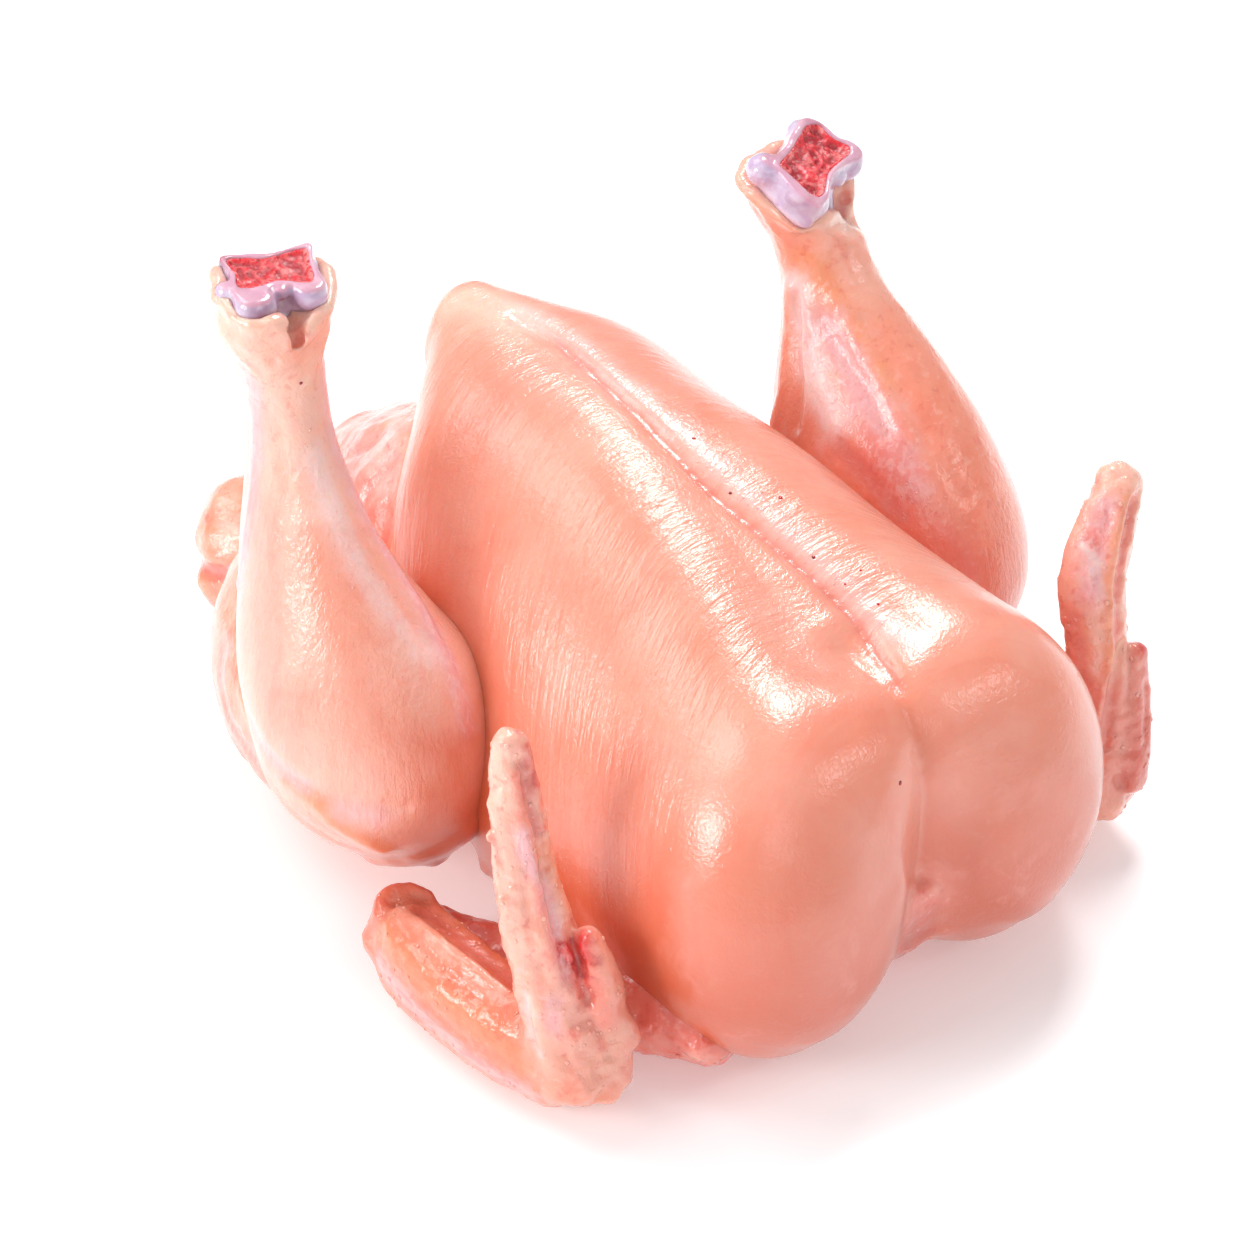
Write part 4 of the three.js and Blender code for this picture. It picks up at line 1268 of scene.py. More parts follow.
def mesh_object(name, points, quads, material):
    """A smooth closed object at the origin from points in millimetres on the station frame."""
    mesh = bpy.data.meshes.new(name)
    verts = (points + ORIGIN) * MM
    a, b, c, d = (verts[quads[:, k]] for k in range(4))
    centre = verts.mean(0)
    volume = np.einsum("ij,ij->i", a - centre, np.cross(b - centre, c - centre)).sum()
    volume += np.einsum("ij,ij->i", a - centre, np.cross(c - centre, d - centre)).sum()
    faces = quads if volume > 0 else quads[:, ::-1]
    mesh.vertices.add(len(verts))
    mesh.vertices.foreach_set("co", verts.astype(np.float32).ravel())
    mesh.loops.add(faces.size)
    mesh.loops.foreach_set("vertex_index", faces.astype(np.int32).ravel())
    mesh.polygons.add(len(faces))
    mesh.polygons.foreach_set("loop_start", np.arange(0, faces.size, 4, dtype=np.int32))
    mesh.update(calc_edges=True)
    mesh.validate()
    mesh.polygons.foreach_set("use_smooth", np.ones(len(faces), bool))
    mesh.materials.append(material)
    return placed(name, mesh)


def listed_object(name, points, faces, material):
    """A piece at the origin from such points and a list of faces with any number of sides."""
    mesh = bpy.data.meshes.new(name)
    mesh.from_pydata(((points + ORIGIN) * MM).tolist(), [], faces)
    mesh.materials.append(material)
    return placed(name, mesh)


def placed(name, data):
    """A new object in the scene."""
    thing = bpy.data.objects.new(name, data)
    bpy.context.scene.collection.objects.link(thing)
    return thing


def give(mesh, name, kind, values):
    """Stores a value, a vector or a colour on every point of a mesh."""
    layer = mesh.attributes.new(name, kind, "POINT")
    slot = {"FLOAT": "value", "FLOAT_VECTOR": "vector", "FLOAT_COLOR": "color"}[kind]
    values = np.asarray(values, np.float32)
    if kind == "FLOAT_COLOR":
        values = np.hstack([values, np.ones((len(values), 1), np.float32)])
    layer.data.foreach_set(slot, values.ravel())


def held(mesh, name, width):
    """The values stored on every point of a mesh."""
    values = np.zeros(len(mesh.vertices) * width, np.float32)
    slot = {1: "value", 3: "vector", 4: "color"}[width]
    mesh.attributes[name].data.foreach_get(slot, values)
    return values.reshape(-1, width)


def seen(colour):
    """A screen colour from 0 to 255 as linear light."""
    c = np.asarray(colour, float) / 255
    return np.where(c <= 0.04045, c / 12.92, ((c + 0.055) / 1.055) ** 2.4)


def mix(a, b, share):
    return a + (b - a) * np.asarray(share)[:, None]


# ---- Flesh ----


def grow(group, cell):
    """One group's field on a box of its own, and the fields of its forms."""
    members, _ = GROUPS[group]
    skins = {}
    for name, (shape, _) in members.items():
        skins[name] = mirror_skin(*swept(shape)) if name == "breast_right" else swept(shape)
    low = np.min([s[0].min(0) for s in skins.values()], 0) - MARGIN
    high = np.max([s[0].max(0) for s in skins.values()], 0) + MARGIN
    low[2] = -2 * cell - 1
    body = Field(low, high, cell)
    forms = {}
    for name, (_, run) in members.items():
        where, values = body.of_skin(*skins[name])
        forms[name] = body.part(where, values)
        body.join(where, values, run)
    return body, forms


@functools.cache
def neighbours():
    """Every group's field on wide cells, to find the creases between them."""
    return {group: grow(group, WIDE_CELL)[0] for group in GROUPS}


def crease_of(group, points):
    """How deep each point of a group lies in a crease against another group, from nothing to one."""
    near = np.min([field.at(points) for name, field in neighbours().items() if name != group], 0)
    return np.exp(-np.clip(near, 0, None) / CREASE_REACH)


def zone_shares(forms, points):
    """How much each form owns each point: one column a form, rows adding up to one."""
    near = np.full((len(points), len(forms)), REACH)
    for k, part in enumerate(forms.values()):
        p = points / part.cell - part.corner
        inside = ((p >= 0) & (p <= np.array(part.values.shape) - 1.001)).all(1)
        near[inside, k] = part.at(points[inside])
    share = np.exp(-(near - near.min(1, keepdims=True)) / ZONE_BLEND)
    return share / share.sum(1, keepdims=True)


def strokes_lift(places, strokes):
    """How much a set of strokes raises places, in millimetres."""
    lift = np.zeros(len(places))
    for path, breadth, height in strokes:
        line = smooth_path(path)
        close = near_path(places, line, breadth * 2.6)
        d = reach_to(places[close], line)
        uneven = 1 + 0.35 * rumple(places[close], 6.0, 11)
        wander = 1 + 0.25 * rumple(places[close], 4.0, 12)
        lift[close] += height * uneven * bell(d * wander, breadth * 1.15)
    return lift


def carve(field, forms, strokes, sizes):
    """Raises the strokes and the lumps of every zone."""
    shell = np.argwhere(np.abs(field.values) < SKIN_DEPTH)
    places = (shell + field.corner) * field.cell
    lift = strokes_lift(places, strokes)
    rough = zone_shares(forms, places) @ np.array([RUMPLE[name] for name in forms])
    coarse, fine = sizes
    lumps = 0.55 * rumple(places, coarse, 3) + 0.45 * rumple(places, fine, 4)
    folds = folds_of(places * [1, 0.45, 1], coarse * 0.7, 5)
    lift += rough * (lumps + 0.35 * folds)
    lift *= np.clip(places[:, 2] / FLOOR_FADE, 0, 1)
    field.values[tuple(shell.T)] -= lift.astype(np.float32)


def trim_floor(field):
    """Cuts the flesh level where it rests."""
    z = (np.arange(field.values.shape[2]) + field.corner[2]) * field.cell
    below = np.broadcast_to(z[None, None].astype(np.float32), field.values.shape)
    field.values = -soft_min(-field.values, below, 1.2)


def smooth_lobes(field):
    """Rounds off the front of the breast's two lobes, away from the cleft between them."""
    where = field.cells(*LOBES)
    x, y, z = np.moveaxis(field.places(where), -1, 0)
    values = field.values[where].copy()
    for _ in range(LOBE_PASSES):
        for axis in range(3):
            v = np.moveaxis(values, axis, 0)
            v[1:-1] += 0.25 * (v[:-2] + v[2:] - 2 * v[1:-1])
    share = eased((-42 - y) / 12) * eased((np.abs(x) - 4) / 8) * eased((z - 8) / 10)
    field.values[where] += (share * (values - LOBE_SWELL - field.values[where])).astype(np.float32)


def draw_up_skin(field, side):
    """Cuts a leg off below its bone's head and rolls the skin up round it."""
    cuff, pose = CUFFS[side], pose_of(SHANKS[side])
    middle = posed([(0, 0, -10)], pose)[0]
    where = field.cells(middle - 22, middle + 22)
    local = unposed(field.places(where), pose)
    rim = closed_path(cuff["rim"])
    turn = np.arctan2(rim[:-1, 1], rim[:-1, 0])
    order = np.argsort(turn)
    top = np.interp(np.arctan2(local[..., 1], local[..., 0]), turn[order], rim[order, 2], period=2 * math.pi)
    field.cut(where, top - 0.4 - local[..., 2], 1.0)
    thick = cuff["thick"] * (1 + 0.35 * rumple(local, 3.6, 8) + 0.15 * rumple(local, 1.6, 9))
    field.join(where, reach_to(local, rim) - thick, 2.6)
    _, bone = shank_fields(field, SHANKS[side])
    sleeve = np.maximum(bone.values[where] - 0.8 * thick, local[..., 2] - top)
    field.join(where, sleeve, 1.2)


def open_shank(field, side):
    """Wrinkles the skin round a shank, hollows it where sinew has drawn back, and makes room for the bone."""
    cuff, pose = CUFFS[side], pose_of(SHANKS[side])
    middle = posed([(0, 0, -14)], pose)[0]
    where = field.cells(middle - 26, middle + 26)
    local = unposed(field.places(where), pose)
    crumple = 0.55 * rumple(local * [1, 1, 0.6], 2.6, 13) + 0.35 * folds_of(local * [1, 1, 0.5], 1.9, 14)
    field.values[where] -= (0.3 * crumple * eased((local[..., 2] + 30) / 10)).astype(np.float32)
    for path, wide in cuff["pits"]:
        d = reach_to(local, np.array(path, float)) - wide * (1 + 0.25 * rumple(local, 2.0, 10))
        field.cut(where, d, 0.8)
    _, bone = shank_fields(field, SHANKS[side])
    field.cut(field.everywhere(), bone.values + OVERLAP)


# ---- Paint ----


def paint(forms, points, look, crease):
    """Colour, streak direction, and the shares of film, blood, loose skin and clear grain of every point."""
    share = zone_shares(forms, points)
    names = list(forms)
    colours = {name: seen(rgb) for name, rgb in PALETTE.items()}
    chosen = {
        "pink": look.flesh,
        "amber": look.crease,
        "fat": look.fat,
        "lilac": look.film,
        "blood": look.blood,
    }
    colours |= {name: np.array(colour) for name, colour in chosen.items()}
    tint = share @ np.array([colours[ZONE_COLOUR[n]] for n in names])
    loose = np.clip(share @ np.array([RUMPLE[n] for n in names]) / 0.7, 0, 1)

    blotch = rumple(points, 10.0, 21)
    tint = mix(tint, colours["amber"], np.clip(blotch, 0, 1) * 0.22)
    tint = mix(tint, colours["pale"], np.clip(-blotch, 0, 1) * 0.30)
    small = rumple(points, 3.0, 22)
    tint = mix(tint, colours["rose"], np.clip(small, 0, 1) * 0.5 * loose)
    tint = mix(tint, colours["cream"], np.clip(-small, 0, 1) * 0.55 * loose)

    film = np.zeros(len(points))
    wet = np.zeros(len(points))
    for zones, strokes in PAINT:
        owners = [any(z in n for z in zones.split()) for n in names]
        if not any(owners):
            continue
        owned = share[:, owners].sum(1)
        for path, breadth, colour, strength in strokes:
            line = smooth_path(path)
            close = near_path(points, line, breadth * 2.4)
            spot = points[close]
            ragged = 1 + 0.3 * rumple(spot, max(breadth, 1.6), 31)
            ragged += 0.2 * rumple(spot, max(breadth / 2.5, 1.0), 32)
            weight = np.clip(bell(reach_to(spot, line) * ragged, breadth) * 1.25, 0, 1)
            weight *= strength * owned[close]
            tint[close] = mix(tint[close], colours[colour], weight)
            if colour in ("silver", "lilac"):
                film[close] = np.maximum(film[close], weight)
            if colour == "blood":
                wet[close] = np.maximum(wet[close], weight)

    # Painted shade: the trunk is darkened with umber towards the floor from higher up than the limbs are, and
    # creases take amber, or rose on loose skin. The cleft between its lobes counts as a crease.
    depth, level = (0.84, 72) if "keel" in forms else (0.74, 50)
    tint = mix(tint, colours["umber"], depth * eased((level - points[:, 2]) / (level * 0.72)) * (1 - loose))
    cleft = np.exp(-np.abs(points[:, 0] - 1) / 2.2) * np.clip((-50 - points[:, 1]) / 8, 0, 1)
    crease = np.maximum(crease, 0.6 * cleft)
    tint = mix(tint, colours["amber"], np.clip(crease, 0, 1) * 0.6 * (1 - loose))
    tint = mix(tint, colours["rose"], np.clip(crease, 0, 1) * 0.5 * loose)
    sure = np.clip((share.max(1) - 0.55) / 0.35, 0, 1)
    front = eased((-38 - points[:, 1]) / 14)
    low = eased((46 - points[:, 2]) / 18)
    grain = sure * (1 - front) * (1 - 0.75 * low) * (1 - np.clip(crease * 1.3, 0, 1))
    fibre = fibres(names, share, points)
    return {"tint": tint, "film": film, "wet": wet, "loose": loose, "grain": grain, "fibre": fibre}


def fibres(names, share, points):
    """Coordinates that run slowly along the muscle fibres and fast across them, in metres."""
    x, y, z = points.T
    ridge = np.clip(98 - (20 - y) * 0.365, 71, 98)
    reach = np.hypot(x, 0.9 * (z - ridge))
    breast = np.stack([y + 0.55 * reach - 17 * (1 - np.exp(-reach / 15)), 0.12 * reach, 0.10 * (x + y)], 1)
    limb = np.stack([x, y, 0.16 * z], 1)
    forearm = np.stack([x, 0.12 * y, z], 1)
    best = share.argmax(1)
    pattern = limb.copy()
    for k, name in enumerate(names):
        if "breast" in name or "keel" in name:
            pattern[best == k] = breast[best == k]
        elif "forearm" in name or "upper" in name:
            pattern[best == k] = forearm[best == k]
    return pattern * MM


def finish_skin(name, field, forms, look, touch=None):
    """Turns a field into a painted piece that stands for the flesh."""
    points, quads = field.skin()
    points[:, 2] = np.maximum(points[:, 2], 0.0)
    painted = paint(forms, points, look, crease_of(name, points))
    if touch:
        touch(points, painted)
    piece = mesh_object(name, points, quads, flesh_material(look))
    give(piece.data, "tint", "FLOAT_COLOR", painted["tint"])
    give(piece.data, "fibre", "FLOAT_VECTOR", painted["fibre"])
    for value in ("film", "wet", "loose", "grain"):
        give(piece.data, value, "FLOAT", painted[value])
    return hand_over(piece, "chicken_flesh")


def hand_over(piece, node):
    """Attaches a piece to the body it moves with and hides the solid it stands in for."""
    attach(piece, BODY)
    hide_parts(node)
    return piece


# ---- Nodes ----


def add(tree, kind, inputs=None, **values):
    """Adds a node, sets its properties, and sets or links its inputs by name or number."""
    node = tree.nodes.new(kind)
    for key, value in values.items():
        setattr(node, key, value)
    for key, value in (inputs or {}).items():
        if isinstance(value, bpy.types.NodeSocket):
            tree.links.new(value, node.inputs[key])
        else:
            node.inputs[key].default_value = value
    return node


def solid(colour):
    """A colour with nothing see-through in it."""
    return (*[float(c) for c in colour], 1.0)


def screen(*rgb):
    """A screen colour from 0 to 255 as a solid colour of linear light."""
    return solid(seen(rgb))


class Finish:
    """A material while it is made: patterns, mixes and relief that end in one surface."""

    def __init__(self, name):
        self.material = bpy.data.materials.new(name)
        self.material.use_nodes = True
        self.tree = self.material.node_tree
        self.tree.nodes.clear()

    def place(self):
        """Places on the object, in metres."""
        return add(self.tree, "ShaderNodeTexCoord").outputs["Object"]

    def stored(self, name, output="Fac"):
        """A value that every point of the mesh holds."""
        return add(self.tree, "ShaderNodeAttribute", attribute_name=name).outputs[output]

    def noise(self, vector, scale, detail=3.0, rough=0.5, warp=0.0):
        inputs = {"Vector": vector, "Scale": scale, "Detail": detail, "Roughness": rough, "Distortion": warp}
        return add(self.tree, "ShaderNodeTexNoise", inputs).outputs["Fac"]

    def cells(self, vector, scale):
        """Distance to the nearest of many scattered points."""
        return add(self.tree, "ShaderNodeTexVoronoi", {"Vector": vector, "Scale": scale}).outputs["Distance"]

    def ramp(self, value, low, high, to_low=0.0, to_high=1.0):
        """A value eased from one range into another."""
        inputs = {"Value": value, "From Min": low, "From Max": high, "To Min": to_low, "To Max": to_high}
        return add(self.tree, "ShaderNodeMapRange", inputs, interpolation_type="SMOOTHSTEP").outputs["Result"]

    def times(self, a, b):
        return add(self.tree, "ShaderNodeMath", {0: a, 1: b}, operation="MULTIPLY").outputs[0]

    def plus(self, a, b):
        return add(self.tree, "ShaderNodeMath", {0: a, 1: b}, operation="ADD").outputs[0]

    def coloured(self, colour, *layers):
        """Colours laid over the first one: the share and the colour of each."""
        for share, over in layers:
            inputs = {"Factor": share, 6: colour, 7: over}
            colour = add(self.tree, "ShaderNodeMix", inputs, data_type="RGBA").outputs[2]
        return colour

    def relief(self, *layers):
        """Bumps laid over each other: the height, the depth in metres and the strength of each."""
        under = {}
        for height, depth, strength in layers:
            inputs = {"Height": height, "Distance": depth, "Strength": strength, **under}
            under = {"Normal": add(self.tree, "ShaderNodeBump", inputs).outputs["Normal"]}
        return under["Normal"]

    def surface(self, colour, roughness, normal=None, fixed=None):
        """Ends the tree in a Principled surface, with its fixed values set on its own sockets."""
        inputs = {"Base Color": colour, "Roughness": roughness, **(fixed or {})}
        if normal:
            inputs |= {"Normal": normal, "Coat Normal": normal}
        shader = add(self.tree, "ShaderNodeBsdfPrincipled", inputs)
        add(self.tree, "ShaderNodeOutputMaterial", {"Surface": shader.outputs["BSDF"]})
        return self.material


# ---- Small things set on a surface ----


def domes_tree():
    """Small domes scattered over a surface: how many, their size, flatness, seed and material are inputs."""
    tree = bpy.data.node_groups.new("domes on a surface", "GeometryNodeTree")
    kinds = {
        "Surface": "Geometry",
        "Density": "Float",
        "Radius": "Float",
        "Flatness": "Float",
        "Seed": "Int",
        "Material": "Material",
    }
    for name, kind in kinds.items():
        tree.interface.new_socket(name, in_out="INPUT", socket_type=f"NodeSocket{kind}")
    tree.interface.new_socket("Domes", in_out="OUTPUT", socket_type="NodeSocketGeometry")
    given = add(tree, "NodeGroupInput").outputs
    growth = add(tree, "GeometryNodeInputNamedAttribute", {"Name": "growth"}, data_type="FLOAT")
    spots = {
        "Mesh": given["Surface"],
        "Distance Min": DOME_GAP,
        "Density Max": given["Density"],
        "Density Factor": growth.outputs["Attribute"],
        "Seed": given["Seed"],
    }
    scatter = add(tree, "GeometryNodeDistributePointsOnFaces", spots, distribute_method="POISSON").outputs
    dome = add(tree, "GeometryNodeMeshIcoSphere", {"Subdivisions": 2, "Radius": given["Radius"]})
    least, most = DOME_SIZES
    chance = add(
        tree,
        "FunctionNodeRandomValue",
        {2: least, 3: most, "Seed": given["Seed"]},
        data_type="FLOAT",
    )
    wide = chance.outputs[1]
    low = add(tree, "ShaderNodeMath", {0: wide, 1: given["Flatness"]}, operation="MULTIPLY")
    size = add(tree, "ShaderNodeCombineXYZ", {"X": wide, "Y": wide, "Z": low.outputs[0]})
    copies = {
        "Points": scatter["Points"],
        "Instance": dome.outputs["Mesh"],
        "Rotation": scatter["Rotation"],
        "Scale": size.outputs["Vector"],
    }
    made = add(tree, "GeometryNodeInstanceOnPoints", copies).outputs["Instances"]
    made = add(tree, "GeometryNodeRealizeInstances", {"Geometry": made}).outputs["Geometry"]
    made = add(tree, "GeometryNodeSetShadeSmooth", {"Geometry": made}).outputs["Geometry"]
    made = add(tree, "GeometryNodeSetMaterial", {"Geometry": made, "Material": given["Material"]})
    add(tree, "NodeGroupOutput", {"Domes": made.outputs["Geometry"]})
    return tree


def patch(name, skins, growth_at, material):
    """A mesh of the faces of some pieces where small things grow, with their colour and the growth."""
    points, quads, tints, growths = [], [], [], []
    first = 0
    for skin in skins:
        mesh = bpy.data.objects[skin].data
        verts = np.zeros(len(mesh.vertices) * 3, np.float32)
        mesh.vertices.foreach_get("co", verts)
        verts = verts.reshape(-1, 3) / MM - ORIGIN
        faces = np.zeros(len(mesh.loops), np.int32)
        mesh.loops.foreach_get("vertex_index", faces)
        faces = faces.reshape(-1, 4)
        growth = growth_at(verts, held(mesh, "loose", 1)[:, 0])
        keep = faces[growth[faces].max(1) > 0.02]
        used, back = np.unique(keep, return_inverse=True)
        points.append(verts[used])
        quads.append(back.reshape(-1, 4) + first)
        tints.append(held(mesh, "tint", 4)[used, :3])
        growths.append(growth[used])
        first += len(used)
    piece = listed_object(name, np.vstack(points), np.vstack(quads).tolist(), material)
    give(piece.data, "tint", "FLOAT_COLOR", np.vstack(tints))
    give(piece.data, "growth", "FLOAT", np.clip(np.concatenate(growths), 0, 1))
    return piece


def set_domes(piece, tree, **settings):
    """Grows domes over a patch and keeps only them."""
    modifier = piece.modifiers.new("domes", "NODES")
    modifier.node_group = tree
    for item in tree.interface.items_tree:
        if item.in_out == "INPUT" and item.name in settings:
            modifier[item.identifier] = settings[item.name]
    view = bpy.context.evaluated_depsgraph_get()
    domed = piece.evaluated_get(view)
    grown = bpy.data.meshes.new_from_object(domed, preserve_all_data_layers=True, depsgraph=view)
    old = piece.data
    piece.modifiers.remove(modifier)
    piece.data = grown
    bpy.data.meshes.remove(old)
    grown.name = piece.name
    return piece


# ---- Materials ----


def raw_flesh(look):
    """Moist raw muscle: painted colour, fibre streaks, silver film, fine wet wrinkles."""
    make = Finish("raw flesh")
    tint, fibre = make.stored("tint", "Color"), make.stored("fibre", "Vector")
    film, wet, loose, grain = (make.stored(name) for name in ("film", "wet", "loose", "grain"))
    place = make.place()

    streak = make.noise(fibre, 760, 3.0, 0.62, 0.35)
    thread = make.noise(fibre, 1700, 2.0, 0.6, 0.1)
    broad = make.noise(fibre, 230, 2.0, 0.5, 0.3)
    cloud = make.noise(place, 85, 4.0, 0.6, 0.5)
    speck = make.noise(place, 430, 3.0, 0.6)
    wrinkle = make.noise(place, 330, 2.5, 0.5, 0.6)
    sheen = make.noise(place, 1150, 2.0, 0.6, 0.3)
    patchy = make.noise(place, 48, 3.0, 0.55)

    pale, deep = screen(253, 176, 162), screen(226, 88, 58)
    # Each layer: its pattern, where that starts and is full, its strength and its colour.
    layers = (
        (streak, 0.48, 0.72, make.times(grain, 0.12), pale),
        (streak, 0.50, 0.28, make.times(grain, 0.08), deep),
        (broad, 0.50, 0.76, 0.12, deep),
        (cloud, 0.48, 0.75, 0.16, deep),
        (cloud, 0.46, 0.25, 0.20, pale),
        (streak, 0.44, 0.60, make.times(film, 0.35), screen(250, 214, 212)),
        (speck, 0.56, 0.72, make.times(loose, 0.42), screen(212, 78, 70)),
        (speck, 0.44, 0.30, make.times(loose, 0.40), screen(254, 194, 178)),
        (speck, 0.48, 0.66, make.times(wet, 0.7), screen(178, 8, 26)),
    )
    shares = [(make.times(make.ramp(*where), strength), over) for *where, strength, over in layers]
    colour = make.coloured(tint, *shares)
    normal = make.relief(
        (make.times(broad, make.plus(make.times(grain, 0.8), 0.2)), 0.0005, 0.6),
        (make.times(streak, grain), 0.0004, 0.8),
        (make.times(thread, make.plus(grain, film)), 0.0001, 0.7),
        (make.times(wrinkle, make.plus(make.times(loose, 0.9), 0.05)), 0.0005, 0.8),
        (sheen, 0.00016, 0.7),
    )
    roughness = make.ramp(patchy, 0.35, 0.7, look.gloss, look.gloss + 0.12)
    fixed = {
        "Subsurface Weight": 0.5,
        "Subsurface Radius": (1.0, 0.30, 0.16),
        "Subsurface Scale": 0.003,
        "Coat Weight": 1.0,
        "Coat Roughness": 0.19,
        "Coat IOR": 1.5,
        "IOR": 1.45,
    }
    return make.surface(colour, roughness, normal, fixed)


def moist_nub(look):
    """Small wet domes in the colour of the skin they stand on."""
    make = Finish("moist nub")
    tint = make.stored("tint", "Color")
    fine = make.noise(make.place(), 900, 2.0)
    colour = make.coloured(tint, (make.ramp(fine, 0.3, 0.7, 0.1, 0.4), screen(253, 186, 170)))
    roughness = make.ramp(fine, 0.3, 0.7, look.gloss * 0.6, look.gloss * 0.8)
    return make.surface(colour, roughness, fixed={"Coat Weight": 1.0, "Coat Roughness": 0.06, "IOR": 1.4})


def cartilage(look):
    """Glossy lilac cartilage with purple blushes."""
    make = Finish("shank cartilage")
    place = make.place()
    cloud = make.noise(place, 260, 3.0, 0.55, 0.6)
    fine = make.noise(place, 900, 3.0, 0.6)
    colour = make.coloured(
        solid(look.cartilage),
        (make.ramp(cloud, 0.38, 0.68), screen(228, 214, 232)),
        (make.stored("blush"), solid(look.blush)),
        (make.stored("rim"), screen(226, 150, 164)),
    )
    normal = make.relief((cloud, 0.0005, 0.5), (fine, 0.0001, 0.5))
    fixed = {
        "Subsurface Weight": 0.35,
        "Subsurface Radius": (1.0, 0.55, 0.7),
        "Subsurface Scale": 0.0012,
        "Coat Weight": 0.9,
        "Coat Roughness": 0.07,
        "IOR": 1.42,
    }
    return make.surface(colour, make.ramp(fine, 0.3, 0.7, 0.16, 0.28), normal, fixed)


def red_marrow(look):
    """Wet red marrow with pale spongy ridges, dark pits, and painted shade deeper below the cut face."""
    make = Finish("red marrow")
    place = make.place()
    sponge = make.noise(place, 340, 5.0, 0.65, 1.2)
    holes = make.cells(place, 620)
    fine = make.noise(place, 1600, 3.0, 0.6)
    colour = make.coloured(
        solid(look.marrow),
        (make.ramp(sponge, 0.46, 0.62), screen(255, 138, 136)),
        (make.ramp(holes, 0.34, 0.14), screen(186, 10, 30)),
        # Painted shade: the marrow darkens deeper below the cut face, in its pits.
        (make.ramp(make.stored("depth"), 0.5, 1.5), screen(176, 20, 40)),
    )
    normal = make.relief((sponge, 0.0006, 0.9), (holes, 0.0004, 0.7), (fine, 0.00012, 0.6))
    fixed = {
        "Subsurface Weight": 0.3,
        "Subsurface Radius": (1.0, 0.25, 0.25),
        "Subsurface Scale": 0.001,
        "Coat Weight": 0.9,
        "Coat Roughness": 0.1,
        "IOR": 1.4,
    }
    return make.surface(colour, make.ramp(fine, 0.3, 0.7, 0.18, 0.34), normal, fixed)


def blood_red(look):
    """Dark wet blood."""
    make = Finish("dark blood")
    fine = make.noise(make.place(), 1500, 3.0, 0.6)
    colour = make.coloured(solid(look.blood), (make.ramp(fine, 0.35, 0.65), screen(112, 8, 18)))
    return make.surface(colour, make.ramp(fine, 0.3, 0.7, 0.2, 0.3), fixed={"Coat Weight": 0.8})


def pale_floor(look):
    """Matt white board that glows a little."""
    make = Finish("pale floor")
    roughness = make.ramp(make.noise(make.place(), 30, 2.0), 0.3, 0.7, 0.85, 0.9)
    glow = {"Emission Color": solid(look.floor), "Emission Strength": 0.24}
    return make.surface(solid(look.floor), roughness, fixed=glow)


# ---- What a user may change ----


def colour_value(name, description, rgb):
    start = tuple(seen(rgb))
    return bpy.props.FloatVectorProperty(
        name=name, description=description, default=start, subtype="COLOR", size=3, min=0, max=1
    )


def number(name, description, default, **limits):
    return bpy.props.FloatProperty(name=name, description=description, default=default, **limits)


def cell_value(thing, default):
    purpose = f"Side of the cells that {thing.lower()} is grown on"
    return number(f"{thing} cell", purpose, default, unit="LENGTH")


class FleshLook(bpy.types.PropertyGroup):
    """Sizes and colours of the flesh."""

    trunk_cell: cell_value("Trunk", 0.00102)
    leg_cell: cell_value("Each leg", 0.00068)
    wing_cell: cell_value("Each wing", 0.0006)
    gloss: number("Dullness", "Roughness of the moist surface", 0.3, min=0, max=1)
    flesh: colour_value("Flesh", "Breast and leg muscle", PALETTE["pink"])
    # The crease colour is painted shade: laid in creases, on the breast's flanks and under its lobes.
    crease: colour_value("Crease", "Flesh deep in a crease", PALETTE["amber"])
    fat: colour_value("Fat", "Yellow fat and skin", PALETTE["fat"])
    film: colour_value("Film", "Film over the muscle", PALETTE["lilac"])
    blood: colour_value("Blood", "Red spots on the wings", PALETTE["blood"])


class BoneLook(bpy.types.PropertyGroup):
    """Sizes and colours of the shank bones and their marrow."""

    cell: cell_value("Bone", 0.00042)
    pits: number("Pit depth", "Depth of the pits in the cut marrow", 0.0013, unit="LENGTH")
    cartilage: colour_value("Cartilage", "Cartilage round the head", (206, 182, 212))
    blush: colour_value("Blush", "Purple blush in the cartilage", (128, 44, 84))
    marrow: colour_value("Marrow", "Cut marrow", (236, 34, 48))


class StageLook(bpy.types.PropertyGroup):
    """The floor, the light and the camera."""

    floor: colour_value("Floor", "Colour of the floor", (248, 250, 252))
    light: number("Light", "Strength of the lamps", 1.0, min=0)
    room: number("Room", "Strength of the light all round", 0.44, min=0)
    distance: number("Distance", "From the camera to the bird", 0.75, unit="LENGTH")
    azimuth: number("Azimuth", "Direction that the camera looks from", math.radians(-40), subtype="ANGLE")
    elevation: number("Elevation", "Height of the camera above level", math.radians(37), subtype="ANGLE")


# ---- Operators ----


def flesh_material(look):
    """The one material of every skin, made when it is first asked for."""
    return bpy.data.materials.get("raw flesh") or raw_flesh(look)


class CHICKEN_OT_trunk(bpy.types.Operator):
    """Grow the breast, ribs, belly, tail and neck end as one skin and paint it"""

    bl_idname = "chicken.trunk"
    bl_label = "Trunk"

    def execute(self, context):
        look = context.scene.chicken_flesh
        field, forms = grow("trunk", look.trunk_cell / MM)
        smooth_lobes(field)
        carve(field, forms, RELIEF["flesh"], LUMPS["flesh"])
        trim_floor(field)
        finish_skin("trunk", field, forms, look)
        return {"FINISHED"}


